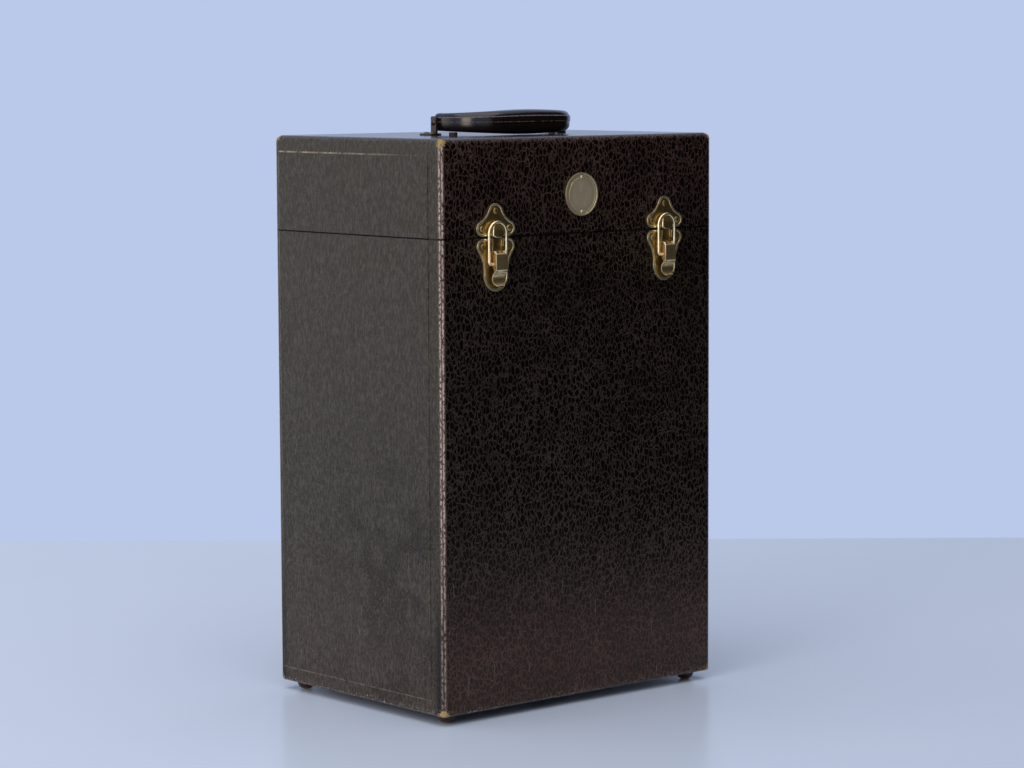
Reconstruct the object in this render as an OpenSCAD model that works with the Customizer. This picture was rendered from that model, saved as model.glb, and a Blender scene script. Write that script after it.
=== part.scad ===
// Carrying case for a slide projector, closed and standing on its feet.
// A plywood box is covered in grained leathercloth, and its lid is sawn from the same box.
// It has two wire draw latches, two back hinges, a folding handle, a bare badge and domed feet.
// Millimetres, +Z up, origin on the floor under the middle of the case, front towards -Y.

/* [Case] */
// Width over the side panels
case_w = 280; // [250:1:320]
// Depth from front cover to back cover
case_d = 204; // [180:1:240]
// Height of the closed box without feet and handle
case_h = 432; // [380:1:500]
// Height of the lid
lid_h = 74; // [66:1:110]
// Saw cut between lid and body
split_gap = 0.7; // [0.5:0.1:1.2]
// Radius of the upright edges
edge_r = 4.5; // [2.5:0.5:5]
// Radius of the lid's upper edges
top_r = 5; // [3:0.5:7.5]
// Radius of the bottom edges
bottom_r = 2.5; // [2:0.5:5]

/* [Boards] */
// Thickness of the wall boards
wall_t = 9; // [8:0.5:12]
// Thickness of the lid's top board
top_t = 9; // [8:0.5:12]
// Thickness of the floor board
floor_t = 9; // [8:0.5:12]
// How far the side boards are let into the front and back boards
rebate = 4; // [2:0.5:5]

/* [Covering] */
// Thickness of the leathercloth
cover_t = 0.8; // [0.6:0.1:1.2]
// Height of the side panels above the turned margins
panel_proud = 0.4; // [0.2:0.1:0.8]
// Cut line round the side panels
panel_gap = 0.2; // [0.1:0.1:0.5]
// Margin turned over from the front
margin_front = 14.5; // [10:0.5:25]
// Margin turned over from the back
margin_back = 6; // [5:0.5:25]
// Margin turned down from the top
margin_top = 12.5; // [9:0.5:25]
// Margin turned up from the bottom
margin_bottom = 11.5; // [9:0.5:25]
// Thickness of the lining
lining_t = 0.5; // [0.3:0.1:1]

/* [Inside] */
// Thickness of the rim lips
lip_t = 3.2; // [2.6:0.1:5]
// Height of the lips above the saw cut
lip_rise = 10; // [5:0.5:16]
// Depth of the lips below the saw cut
lip_depth = 28; // [16:1:50]
// Room between the lips and the lid's lining
lip_clear = 0.8; // [0.6:0.1:1.5]
// Chamfer along the lips' upper edges
lip_chamfer = 0.6; // [0.3:0.1:0.9]
// Height of the lead-in on the lips' outer faces
lip_lead = 2; // [1:0.5:4]
// Room inside the accessory bay, from partition to right lining
bay_w = 58; // [40:1:90]
// Thickness of the partition
partition_t = 5; // [3:0.5:8]
// Height of the partition above the floor lining
partition_h = 236; // [120:1:280]
// Room on each face of the partition in its cleats
partition_clear = 0.3; // [0.2:0.1:0.6]
// Width of a cleat
cleat_w = 10; // [6:0.5:16]
// Thickness of a cleat
cleat_t = 7; // [4:0.5:12]
// Thickness of the felt pad on the floor
pad_t = 3; // [2:0.5:6]
// Room round the felt pad
pad_clear = 0.5; // [0.3:0.1:2]

/* [Feet] */
// Height of a foot
foot_h = 7; // [5:0.5:12]
// Radius of a foot at the case
foot_r = 7.5; // [6:0.5:10]
// Radius of the worn flat under a foot
foot_sole_r = 3; // [1.5:0.5:4]
// Distance of a foot from the case edges
foot_inset = 15; // [13:0.5:40]
// Radius of a foot's nail
foot_nail_r = 1.4; // [1:0.1:2]
// Length of a foot's nail
foot_nail_l = 8; // [5:0.5:9]

/* [Latch plates] */
// Distance of each latch's middle from the side of the case
latch_in = 53; // [40:1:60]
// Thickness of the stamped plates
plate_t = 1; // [0.8:0.1:1.4]
// Height of the bead above the plates
bead_h = 0.6; // [0.3:0.1:0.8]
// Width of the bead along the plate edges
bead_w = 1.6; // [1:0.1:2.2]
// Height of the catch plate's upper lobe centre above the saw cut
catch_tip_y = 18.4; // [16:0.2:22]
// Height of the catch plate's upper nail above that centre
catch_nail_rise = 1.4; // [0:0.2:2]
// Radius of the catch plate's upper lobe
catch_tip_r = 7.2; // [5:0.1:9]
// Distance of the catch plate's ears from its middle
catch_ear_x = 13.2; // [12.6:0.1:15]
// Height of the catch plate's ears above the saw cut
catch_ear_y = 6.6; // [6.2:0.1:8]
// Radius of the catch plate's ears
catch_ear_r = 5.7; // [5:0.1:5.9]
// Radius of the catch plate's hollow flanks
catch_flank_r = 16; // [12:0.5:60]
// Distance of the base plate's round end below the saw cut
base_tip_y = 28.5; // [27:0.2:31]
// Radius of the base plate's round end
base_tip_r = 12; // [10.5:0.1:13]
// Distance of the base plate's ears from its middle
base_ear_x = 12.4; // [12.2:0.1:15]
// Distance of the base plate's ears below the saw cut
base_ear_y = 6.8; // [6.5:0.1:8]
// Radius of the base plate's ears
base_ear_r = 6.1; // [5:0.1:6.3]
// Radius of the base plate's hollow flanks
base_flank_r = 25; // [20:1:60]

/* [Catch hood] */
// Width of the hood
hood_w = 10.8; // [9.5:0.1:11.4]
// Height of the hood's crown above the saw cut
hood_top = 9.8; // [8:0.1:11]
// Height of the hood's open mouth above the saw cut
hood_mouth = 0.9; // [0.6:0.1:2]
// How far the hood's mouth stands off the case
hood_reach = 5.4; // [4.5:0.1:6.5]
// How far the hood's crown stands off its plate
hood_rise = 1.5; // [1.2:0.1:2]
// Radius of the hood across its width
hood_crown_r = 18; // [9:0.5:20]
// Thickness of the drawn hood
hood_t = 1.1; // [0.8:0.1:1.4]

/* [Wire bails] */
// Radius of the bail wire
wire_r = 1.15; // [1:0.05:1.2]
// Distance of each bail leg from the latch's middle
bail_x = 8.4; // [8.2:0.1:9]
// Height of the bail's wire centre off the case
bail_v = 3.3; // [3.2:0.1:3.6]
// Room between the bail's arch and the hood's crown
bail_clear = 0.4; // [0.3:0.1:0.8]
// Radius of the bends at the bail's feet
bail_bend_r = 1.8; // [1.5:0.1:2.2]
// How far the bail's feet stop short of the ears' inner faces
bail_short = 0.1; // [0.05:0.05:0.3]

/* [Latch levers] */
// Distance of the lever's pivot below the saw cut
pivot_y = 12; // [11:0.2:13]
// Height of the lever's pivot off the case
pivot_v = 4.7; // [4.5:0.1:5.2]
// Radius of the lever's pivot pin
pivot_r = 1.1; // [0.9:0.05:1.2]
// How far the pivot pin stands out of each ear
pivot_proud = 0.2; // [0.1:0.1:0.5]
// Metal round the pivot pin in the lever's ears
ear_rim = 1.1; // [0.9:0.1:1.2]
// Metal round the bail's eyes in the lever's ears
eye_rim = 0.75; // [0.6:0.05:0.9]
// Metal round the pivot pin in the bracket's lugs
lug_rim = 0.9; // [0.7:0.1:1]
// How far the knee runs past the pivot
knee_over = 0.6; // [0.3:0.1:0.8]
// Distance of the bail's eyes below the saw cut
eye_y = 20; // [19:0.2:21]
// Width of the lever's knee
lever_w = 11; // [10.8:0.1:11.4]
// Thickness of the lever's ears
lever_wall = 1.1; // [0.9:0.1:1.2]
// Height of the lever's knee off the case
knee_v = 8.2; // [8.2:0.1:9]
// Thickness of the knee's face
knee_t = 1; // [0.8:0.1:1]
// Distance of the knee's lower edge below the saw cut
knee_end = 25.4; // [24.4:0.2:26]
// Chamfer along the knee's upper edge
knee_chamfer = 1; // [0.6:0.1:1.2]
// Chamfer along the knee's lower edge
knee_slope = 1.2; // [0.8:0.1:1.4]
// How far the thumb tab runs into the knee
tab_seat = 0.5; // [0.3:0.1:0.8]
// Radius of the thumb tab's curl
tab_curl_r = 7; // [6.6:0.1:7.2]
// Height of the thumb tab's hollow off the case
tab_low = 3; // [2.6:0.1:3.4]
// Thickness of the thumb tab
tab_t = 1.2; // [1:0.1:1.6]
// Half width of the thumb tab
tab_r = 6.2; // [5.6:0.1:6.6]
// Width of the bracket's channel above the lever
channel_w = 11.2; // [10:0.1:12]
// Width of the bracket between the lever's ears
bracket_w = 8.2; // [7.4:0.1:8.2]
// Thickness of the bracket
bracket_t = 0.9; // [0.7:0.1:1]
// Height of the bracket's side rails off the case
rail_v = 4.2; // [3:0.1:4.5]
// Room between the bracket and the plate's bead
bracket_clear = 0.2; // [0.1:0.1:0.4]
// Room between the raised lever and the bracket's rails
rail_clear = 1.1; // [0.8:0.1:1.5]
// Running room between a hole and its pin
run_clear = 0.06; // [0.04:0.01:0.1]

/* [Nails] */
// Radius of a latch nail's head
nail_head_r = 2.4; // [2:0.1:2.6]
// Height of a latch nail's head
nail_head_h = 0.9; // [0.6:0.1:1]
// Radius of a latch nail's shank
nail_r = 1.1; // [0.8:0.1:1.4]
// Depth of a latch nail below the cover
nail_l = 8; // [5:0.5:8.5]

/* [Badge] */
// Radius of the badge
badge_r = 16.5; // [12:0.5:20]
// Height of the badge's middle above the saw cut
badge_y = 29.5; // [26:0.5:36]
// Thickness of the badge
badge_t = 0.9; // [0.7:0.1:1.5]
// Height of the badge's raised rim
badge_rim_h = 0.4; // [0.2:0.1:0.8]
// Width of the badge's raised rim
badge_rim_w = 1.1; // [0.8:0.1:1.5]
// Distance of the badge's pins from its middle
badge_pin_y = 13.2; // [11:0.1:13.5]
// Radius of a badge pin's head
badge_head_r = 1.4; // [1.1:0.1:1.6]
// Height of a badge pin's head
badge_head_h = 0.7; // [0.4:0.1:0.8]
// Radius of a badge pin's shank
badge_pin_r = 0.7; // [0.5:0.1:1]
// Depth of a badge pin below the cover
badge_pin_l = 7; // [4:0.5:8.5]

/* [Hinges] */
// Distance of each hinge's middle from the side of the case
hinge_in = 60; // [45:1:75]
// Length of a hinge
hinge_w = 44; // [36:1:60]
// Height of a hinge leaf from the hinge line
leaf_h = 24; // [20:0.5:30]
// Thickness of a hinge leaf
leaf_t = 1.3; // [1:0.1:1.6]
// Radius of the knuckles
knuckle_r = 3; // [2.6:0.1:3.4]
// Height of the hinge line off the back
hinge_v = 3.5; // [3.4:0.1:4]
// Radius of the hinge pins
hinge_pin_r = 1.3; // [1:0.1:1.6]
// Room between neighbouring knuckles
knuckle_gap = 0.4; // [0.3:0.05:0.6]
// Room between a knuckle and the other leaf
leaf_clear = 0.5; // [0.4:0.1:1]
// Radius of a hinge screw's head
screw_head_r = 2.6; // [2:0.1:3]
// Height of a hinge screw's head
screw_head_h = 0.9; // [0.6:0.1:1.1]
// Radius of a hinge screw's shank
screw_r = 1.3; // [1:0.1:1.6]
// Width of the slot in a hinge screw's head
slot_w = 0.8; // [0.6:0.1:1]
// Depth of the slot in a hinge screw's head
slot_d = 0.5; // [0.3:0.1:0.6]
// Turn of the slot from one hinge screw to the next
slot_turn = 37; // [0:1:90]
// Depth of a hinge screw below the cover
screw_l = 8; // [5:0.5:8.5]
// How far a leaf's middle screw lies beyond the leaf's middle
screw_mid_out = 6; // [4:0.5:6.5]
// How far a leaf's outer screws lie short of the leaf's middle
screw_end_in = 1; // [0:0.5:3]

/* [Handle] */
// Distance of the handle's arms from the middle
arm_x = 54; // [46:0.5:64]
// Distance of the grip in front of the hinge line
grip_y = 36; // [32:0.5:44]
// Radius of the handle's bends
handle_bend_r = 27; // [20:0.5:27]
// Half width of the handle at its arms
arm_half_w = 5.2; // [4.6:0.1:6]
// Half height of the handle at its arms
arm_half_h = 7; // [5:0.1:7.5]
// Half width of the handle in the middle of the grip
grip_half_w = 11; // [8:0.1:13]
// Half height of the handle in the middle of the grip
grip_half_h = 9.6; // [8:0.1:9.7]
// How far the upper half overhangs the lower half
handle_step = 0.7; // [0.3:0.1:1.2]
// How far the arms run behind the hinge line
arm_tail = 5; // [4.4:0.1:7]
// Height of the handle's hinge line above the lid
handle_v = 10; // [9.9:0.1:12]
// Radius of the steel core
core_r = 1.8; // [1.4:0.1:2.2]
// Radius of the core's bends at the arms
core_bend_r = 4.6; // [4:0.1:5]
// Radius of the pivot ends of the core
handle_pin_r = 1.5; // [1.2:0.1:1.7]
// Radius of the heads on the pivot ends
handle_head_r = 2.6; // [2.2:0.1:3]
// Height of the heads on the pivot ends
handle_head_h = 1.2; // [0.8:0.1:2]
// Room between those heads and the brackets
handle_head_clear = 0.3; // [0.2:0.1:0.6]

/* [Handle brackets] */
// Room between an arm and its bracket
lug_clear = 0.7; // [0.4:0.1:1.2]
// Thickness of the bracket's upright
lug_t = 2; // [1.6:0.1:3]
// Width of the bracket's upright
lug_w = 6.4; // [6:0.1:9]
// Thickness of the bracket's foot
lug_foot_t = 1.5; // [1.2:0.1:2.5]
// Length of the bracket's foot from the upright's inner face
lug_foot_l = 11; // [10:0.5:20]
// Width of the bracket's foot
lug_foot_w = 15; // [14:0.5:20]
// Radius of the corners of the bracket's foot
lug_foot_r = 3; // [1:0.5:4]
// Radius of the upper corners of the bracket's upright
lug_corner_r = 1.2; // [0.6:0.1:3]
// How far the bracket's upright rises past the pivot's own rim
lug_rise = 1.4; // [0.8:0.1:3]
// Distance between a bracket's two rivets
lug_rivet_pitch = 7.4; // [7:0.1:9]
// Radius of a bracket rivet's head
rivet_head_r = 2.5; // [2:0.1:3]
// Height of a bracket rivet's head
rivet_head_h = 1.2; // [0.8:0.1:1.6]
// Radius of a bracket rivet's shank
rivet_r = 1.6; // [1.2:0.1:2]
// Room between a bracket's upright and its rivet heads
rivet_room = 1.2; // [1:0.1:3]
// Thickness of the backing plates under the lid's top
backing_t = 1.5; // [1:0.1:2.5]
// How much longer a backing plate is than the bracket's foot is wide
backing_over = 4; // [0:0.5:8]
// Radius of a backing plate's corners
backing_r = 2; // [1:0.5:4]
// Distance of the rubber rests from the middle
rest_x = 56; // [50:0.5:60]
// Distance of the rubber rests in front of the hinge line
rest_y = 17; // [14:0.5:18]
// Radius of a rubber rest
rest_r = 3.3; // [2.5:0.1:4]
// Room between a rubber rest and the folded handle
rest_clear = 0.35; // [0.3:0.05:0.8]
// Radius of a rubber rest's stem
rest_stem_r = 1.5; // [1:0.1:2]
// Length of a rubber rest's stem
rest_stem_l = 6; // [4:0.5:8]

/* [Hidden] */
$fn = 48;
eps = 0.01;

LEATHERCLOTH = [0.15, 0.13, 0.125];
PLYWOOD = [0.72, 0.56, 0.38];
LINING = [0.45, 0.37, 0.28];
FELT = [0.30, 0.11, 0.10];
BRASS = [0.70, 0.56, 0.28];
STEEL = [0.60, 0.60, 0.58];
SATIN = [0.74, 0.70, 0.62];
MOULDED = [0.08, 0.06, 0.06];
RUBBER = [0.05, 0.05, 0.05];
BROWN = [0.20, 0.11, 0.08];
LACQUER = [0.15, 0.11, 0.10];

split_z = case_h - lid_h;
body_top = split_z - split_gap / 2;
lid_low = split_z + split_gap / 2;
wrap_w = case_w - 2 * panel_proud;
board_w = wrap_w - 2 * cover_t;
board_d = case_d - 2 * cover_t;
cav_w = board_w - 2 * wall_t;
cav_d = board_d - 2 * wall_t;
floor_z = cover_t + floor_t;
ceil_z = case_h - cover_t - top_t;
room_w = cav_w - 2 * lining_t;
room_d = cav_d - 2 * lining_t;
room_z = floor_z + lining_t;

foot_ball_z = (foot_h * foot_h + foot_r * foot_r - foot_sole_r * foot_sole_r) / (2 * foot_h);
foot_ball_r = sqrt(foot_ball_z * foot_ball_z + foot_sole_r * foot_sole_r);

partition_x = room_w / 2 - bay_w - partition_t / 2;

latch_x = case_w / 2 - latch_in;
hinge_x = case_w / 2 - hinge_in;
hood_drop = hood_reach - plate_t - hood_rise;
hood_roof_r = (pow(hood_drop, 2) + pow(hood_top - hood_mouth, 2)) / (2 * hood_drop);
bail_arc_r = bail_x - wire_r;
bail_arch_y = hood_top + bail_clear - bail_arc_r;
lever_eye_r = wire_r + run_clear;
lever_pin_r = pivot_r + run_clear;
lug_ear_r = pivot_r + lug_rim;
lever_ear_r = pivot_r + ear_rim;
eye_ear_r = wire_r + eye_rim;
knee_start = pivot_y - knee_over;
rail_end = knee_start - knee_v + pivot_v - rail_clear;
bracket_top = base_ear_r - base_ear_y - bracket_clear;
tab_v = tab_low + tab_curl_r;
tab_top = knee_v - knee_slope;
tab_y = knee_end + sqrt(pow(tab_curl_r, 2) - pow(tab_v - tab_top, 2)) - tab_seat;

knuckles = 5;
knuckle_pitch = hinge_w / knuckles;
leaf_start = knuckle_r + leaf_clear;
screw_y = (leaf_start + leaf_h) / 2;

lug_x = arm_x + arm_half_w + lug_clear;
lug_rivet_x = lug_x + lug_t + rivet_head_r + rivet_room;
lug_top = handle_v + lug_w / 2 + lug_rise;
arm_front = grip_y - handle_bend_r;
bend_length = handle_bend_r * PI / 2;
arm_length = arm_tail + arm_front;
half_length = arm_length + bend_length + arm_x - handle_bend_r;
section_power = 2.8;
section_steps = 12;
side_rings = 17;

// Places

// the box stands on its feet
module in_case() {
    translate([0, 0, foot_h]) children();
}

// on the front face: x across, y up from the saw cut, z out of the face
module on_front(x) {
    translate([x, -case_d / 2, foot_h + split_z]) rotate([90, 0, 0]) children();
}

// on the back face: x across, y up from the saw cut, z out of the face
module on_back(x) {
    translate([x, case_d / 2, foot_h + split_z]) rotate([90, 0, 180]) children();
}

// on the lid's top: z up from the cover
module on_top() {
    translate([0, 0, foot_h + case_h]) children();
}

// a side outline drawn as [y, z] and drawn out along x
module across(width) {
    rotate([90, 0, 90]) linear_extrude(width, center = true) children();
}

// a round bar along x
module bar(r, width) {
    rotate([0, 90, 0]) cylinder(h = width, r = r, center = true);
}

module both_sides() {
    children();
    mirror([1, 0, 0]) children();
}

// Outlines

module rounded_rect(w, d, r) {
    square([w - 2 * r, d], center = true);
    square([w, d - 2 * r], center = true);
    for (x = [-1, 1], y = [-1, 1])
        translate([x * (w / 2 - r), y * (d / 2 - r)]) circle(r);
}

// an upright outline with its own radii above and below, standing on y = 0
module upright_rect(w, h, r_top, r_low) {
    translate([-w / 2, r_low]) square([w, h - r_top - r_low]);
    translate([-w / 2 + r_low, 0]) square([w - 2 * r_low, r_low + eps]);
    translate([-w / 2 + r_top, h - r_top - eps]) square([w - 2 * r_top, r_top + eps]);
    for (x = [-1, 1]) {
        translate([x * (w / 2 - r_low), r_low]) circle(r_low);
        translate([x * (w / 2 - r_top), h - r_top]) circle(r_top);
    }
}

// centre of the arc that hollows the flank between a tip and an ear
function flank_centre(tip, tip_r, ear, ear_r, r) =
    let (
        span = ear - tip,
        d = norm(span),
        along = span / d,
        out = [-along.y, along.x],
        a = ((tip_r + r) * (tip_r + r) - (ear_r + r) * (ear_r + r) + d * d) / (2 * d),
        h = sqrt((tip_r + r) * (tip_r + r) - a * a)
    )
    tip + a * along + h * out;

// a plate with one tip above, two ears below and hollow flanks, pulled in by inset
module lobed_plate(tip_y, tip_r, ear_x, ear_y, ear_r, flank_r, inset) {
    tip = [0, tip_y];
    ear = [ear_x, ear_y];
    flank = flank_centre(tip, tip_r, ear, ear_r, flank_r);
    low = ear_y - ear_r + inset;
    translate(tip) circle(tip_r - inset);
    both_sides() translate(ear) circle(ear_r - inset);
    both_sides() difference() {
        polygon([tip, flank, ear, [ear_x, low], [0, low]]);
        translate(flank) circle(flank_r + inset);
    }
}

// Case body and lid

// the closed box, pulled in by inset on every side
module closed_box(inset) {
    w = wrap_w - 2 * inset;
    d = case_d - 2 * inset;
    h = case_h - 2 * inset;
    translate([0, 0, inset]) intersection() {
        linear_extrude(h) rounded_rect(w, d, edge_r - inset);
        rotate([90, 0, 0]) linear_extrude(d + 2, center = true)
            upright_rect(w, h, top_r - inset, bottom_r - inset);
        across(w + 2) upright_rect(d, h, top_r - inset, bottom_r - inset);
    }
}

// a block between two heights, wider than the case
module slab(z0, z1) {
    translate([-case_w, -case_d, z0]) cube([2 * case_w, 2 * case_d, z1 - z0]);
}

// the places of the side panels between two heights
module panel_windows(z0, z1) {
    both_sides()
        translate([board_w / 2, margin_front - case_d / 2, z0])
            cube([3 * cover_t, case_d - margin_front - margin_back, z1 - z0]);
}

// one side panel between two heights, on the right
module side_panel(z0, z1) {
    color(LEATHERCLOTH) in_case()
        translate([board_w / 2, margin_front - case_d / 2 + panel_gap, z0])
            cube([
                cover_t + panel_proud,
                case_d - margin_front - margin_back - 2 * panel_gap,
                z1 - z0
            ]);
}

// a front wall board with rebated ends
module front_board(z0, z1) {
    difference() {
        translate([-board_w / 2, -board_d / 2, z0]) cube([board_w, wall_t, z1 - z0]);
        both_sides()
            translate([cav_w / 2, -cav_d / 2 - rebate, z0 - 1])
                cube([board_w, rebate + 1, z1 - z0 + 2]);
    }
}

// a right wall board, let into the front and back boards
module side_board(z0, z1) {
    translate([cav_w / 2, -cav_d / 2 - rebate, z0])
        cube([wall_t, cav_d + 2 * rebate, z1 - z0]);
}

module body_walls() {
    color(PLYWOOD) difference() {
        in_case() intersection() {
            closed_box(cover_t);
            children();
        }
        all_shanks();
    }
}

module body_front_board() {
    body_walls() front_board(floor_z, body_top);
}

module body_back_board() {
    body_walls() mirror([0, 1, 0]) front_board(floor_z, body_top);
}

module body_right_board() {
    body_walls() side_board(floor_z, body_top);
}

module body_left_board() {
    mirror([1, 0, 0]) body_right_board();
}

module floor_board() {
    body_walls() slab(cover_t, floor_z);
}

module lid_top_board() {
    body_walls() slab(ceil_z, case_h - cover_t);
}

module lid_front_board() {
    body_walls() front_board(lid_low, ceil_z);
}

module lid_back_board() {
    body_walls() mirror([0, 1, 0]) front_board(lid_low, ceil_z);
}

module lid_right_board() {
    body_walls() side_board(lid_low, ceil_z);
}

module lid_left_board() {
    mirror([1, 0, 0]) lid_right_board();
}

// leathercloth over front, back and one end, with its margins turned over the sides
module wrap(z0, z1, panel_z0, panel_z1) {
    color(LEATHERCLOTH) difference() {
        in_case() intersection() {
            closed_box(0);
            slab(z0, z1);
        }
        in_case() closed_box(cover_t);
        in_case() panel_windows(panel_z0, panel_z1);
        all_shanks();
    }
}

module body_wrap() {
    wrap(-1, body_top, margin_bottom, case_h);
}

module lid_wrap() {
    wrap(lid_low, case_h + 1, split_z - lid_h, case_h - margin_top);
}

module body_right_panel() {
    side_panel(margin_bottom + panel_gap, body_top);
}

module body_left_panel() {
    mirror([1, 0, 0]) body_right_panel();
}

module lid_right_panel() {
    side_panel(lid_low, case_h - margin_top - panel_gap);
}

module lid_left_panel() {
    mirror([1, 0, 0]) lid_right_panel();
}

// a lining of the inside between two heights, open at one end
module lining(z0, z1, open0, open1) {
    translate([-cav_w / 2, -cav_d / 2, z0]) difference() {
        cube([cav_w, cav_d, z1 - z0]);
        translate([lining_t, lining_t, open0 ? -1 : lining_t])
            cube([
                room_w,
                room_d,
                z1 - z0 + (open0 ? 1 : -lining_t) + (open1 ? 1 : -lining_t)
            ]);
    }
}

module body_lining() {
    color(LINING) in_case() lining(floor_z, body_top, false, true);
}

module lid_lining() {
    color(LINING) difference() {
        in_case() lining(lid_low, ceil_z, true, false);
        all_shanks();
    }
}

// Inside

// outline of a rim lip: x from the lining inwards, y up from the saw cut
module lip_outline() {
    polygon([
        [0, -lip_depth],
        [lip_t, -lip_depth],
        [lip_t, lip_rise - lip_chamfer],
        [lip_t - lip_chamfer, lip_rise],
        [lip_clear + lip_chamfer, lip_rise],
        [lip_clear, lip_rise - lip_lead],
        [lip_clear, -split_gap / 2],
        [0, -split_gap / 2]
    ]);
}

module rim_lip_right() {
    color(PLYWOOD) in_case()
        translate([room_w / 2, room_d / 2 - lip_clear, split_z]) rotate([90, 0, 0])
            linear_extrude(room_d - 2 * lip_clear) mirror([1, 0]) lip_outline();
}

module rim_lip_left() {
    mirror([1, 0, 0]) rim_lip_right();
}

module rim_lip_front() {
    color(PLYWOOD) in_case()
        translate([0, -room_d / 2, split_z]) across(room_w - 2 * lip_t) lip_outline();
}

module partition() {
    color(PLYWOOD) in_case()
        translate([partition_x - partition_t / 2, -room_d / 2, room_z])
            cube([partition_t, room_d, partition_h]);
}

module partition_cleats() {
    offset_x = partition_t / 2 + partition_clear;
    color(PLYWOOD) in_case()
        for (x = [partition_x - offset_x - cleat_w, partition_x + offset_x],
             y = [-room_d / 2, room_d / 2 - cleat_t])
            translate([x, y, room_z + pad_t]) cube([cleat_w, cleat_t, partition_h - pad_t]);
}

module floor_pad() {
    pad_w = partition_x - partition_t / 2 + room_w / 2 - 2 * pad_clear;
    color(FELT) in_case()
        translate([-room_w / 2 + pad_clear, -room_d / 2 + pad_clear, room_z])
            cube([pad_w, room_d - 2 * pad_clear, pad_t]);
}

// Fasteners

// a domed head on z = 0 with its shank below
module nail(head_r, head_h, shank_r, shank_l) {
    ball_r = (head_r * head_r + head_h * head_h) / (2 * head_h);
    intersection() {
        translate([0, 0, head_h - ball_r]) sphere(ball_r);
        cylinder(h = head_h + 1, r = head_r + 1);
    }
    translate([0, 0, -shank_l]) cylinder(h = shank_l + eps, r = shank_r);
}

module at_catch_nails() {
    translate([0, catch_tip_y + catch_nail_rise]) children();
    both_sides() translate([catch_ear_x, catch_ear_y]) children();
}

module at_base_nails() {
    translate([0, -base_tip_y - base_tip_r / 3]) children();
    both_sides() translate([base_ear_x, -base_ear_y]) children();
}

module at_latches() {
    for (s = [-1, 1]) on_front(s * latch_x) children();
}

// a leaf's screws stand in a triangle
function screw_line(x) = screw_y + (x == 0 ? screw_mid_out : -screw_end_in);

module at_screws(side) {
    for (s = [-1, 1]) on_back(s * hinge_x)
        for (x = [-1, 0, 1])
            translate([x * hinge_w / 3, side * screw_line(x)]) children();
}

module at_lug_rivets() {
    on_top() both_sides()
        for (y = [-1, 1]) translate([lug_rivet_x, y * lug_rivet_pitch / 2]) children();
}

module at_rests() {
    on_top() both_sides() translate([rest_x, -rest_y]) children();
}

module at_feet() {
    for (x = [-1, 1], y = [-1, 1])
        translate([x * (case_w / 2 - foot_inset), y * (case_d / 2 - foot_inset)]) children();
}

// a drilled hole of a shank, from above the cover down to its depth
module drilled(r, depth) {
    translate([0, 0, -depth]) cylinder(h = depth + 1, r = r);
}

// every hole in boards, covers and linings
module all_shanks() {
    at_latches() at_catch_nails() drilled(nail_r, nail_l);
    at_latches() at_base_nails() drilled(nail_r, nail_l);
    on_front(0) for (y = [-1, 1])
        translate([0, badge_y + y * badge_pin_y]) drilled(badge_pin_r, badge_pin_l);
    for (side = [-1, 1]) at_screws(side) drilled(screw_r, screw_l);
    at_lug_rivets() drilled(rivet_r, cover_t + top_t + lining_t + 1);
    at_rests() drilled(rest_stem_r, rest_stem_l);
    at_feet() translate([0, 0, foot_h - 1]) cylinder(h = foot_nail_l + 1, r = foot_nail_r);
}

module latch_base_nails() {
    color(BRASS) at_latches() at_base_nails()
        translate([0, 0, plate_t]) nail(nail_head_r, nail_head_h, nail_r, nail_l + plate_t);
}

module catch_nails() {
    color(BRASS) at_latches() at_catch_nails()
        translate([0, 0, plate_t]) nail(nail_head_r, nail_head_h, nail_r, nail_l + plate_t);
}

// a screw in its leaf, its head slotted at the turn where it stopped
module screw(turn) {
    translate([0, 0, leaf_t]) difference() {
        nail(screw_head_r, screw_head_h, screw_r, screw_l + leaf_t);
        rotate([0, 0, turn]) translate([-screw_head_r, -slot_w / 2, screw_head_h - slot_d])
            cube([2 * screw_head_r, slot_w, slot_d + 1]);
    }
}

module leaf_screws(side) {
    color(BRASS) for (s = [-1, 1]) on_back(s * hinge_x)
        for (x = [-1, 0, 1])
            translate([x * hinge_w / 3, side * screw_line(x)]) screw((4 * s + 2 * side + x) * slot_turn);
}

module hinge_body_screws() { leaf_screws(-1); }
module hinge_lid_screws() { leaf_screws(1); }

// Feet

module foot(x, y) {
    color(BROWN) translate([x * (case_w / 2 - foot_inset), y * (case_d / 2 - foot_inset), 0]) {
        intersection() {
            translate([0, 0, foot_ball_z]) sphere(foot_ball_r);
            cylinder(h = foot_h, r = foot_r + 2);
        }
        translate([0, 0, foot_h - eps]) cylinder(h = foot_nail_l + eps, r = foot_nail_r);
    }
}

module foot_front_left() { foot(-1, -1); }
module foot_front_right() { foot(1, -1); }
module foot_back_left() { foot(-1, 1); }
module foot_back_right() { foot(1, 1); }

// Latches

module catch_outline(inset) {
    lobed_plate(catch_tip_y, catch_tip_r, catch_ear_x, catch_ear_y, catch_ear_r,
        catch_flank_r, inset);
}

module base_outline(inset) {
    mirror([0, 1])
        lobed_plate(base_tip_y, base_tip_r, base_ear_x, base_ear_y, base_ear_r,
            base_flank_r, inset);
}

// the hood that the bail hooks over: an arch in front view, drawn out of the plate
module hood_form(inset, mouth) {
    r = hood_w / 2;
    intersection() {
        linear_extrude(hood_reach + 1) {
            translate([0, hood_top - r]) circle(r - inset);
            translate([-r + inset, mouth]) square([2 * (r - inset), hood_top - r - mouth]);
        }
        translate([0, hood_mouth, hood_reach - hood_roof_r]) bar(hood_roof_r - inset, 4 * r);
        translate([0, 0, hood_reach - hood_crown_r]) rotate([-90, 0, 0])
            translate([0, 0, mouth - 1])
                cylinder(h = hood_top + 4, r = hood_crown_r - inset);
    }
}

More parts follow.
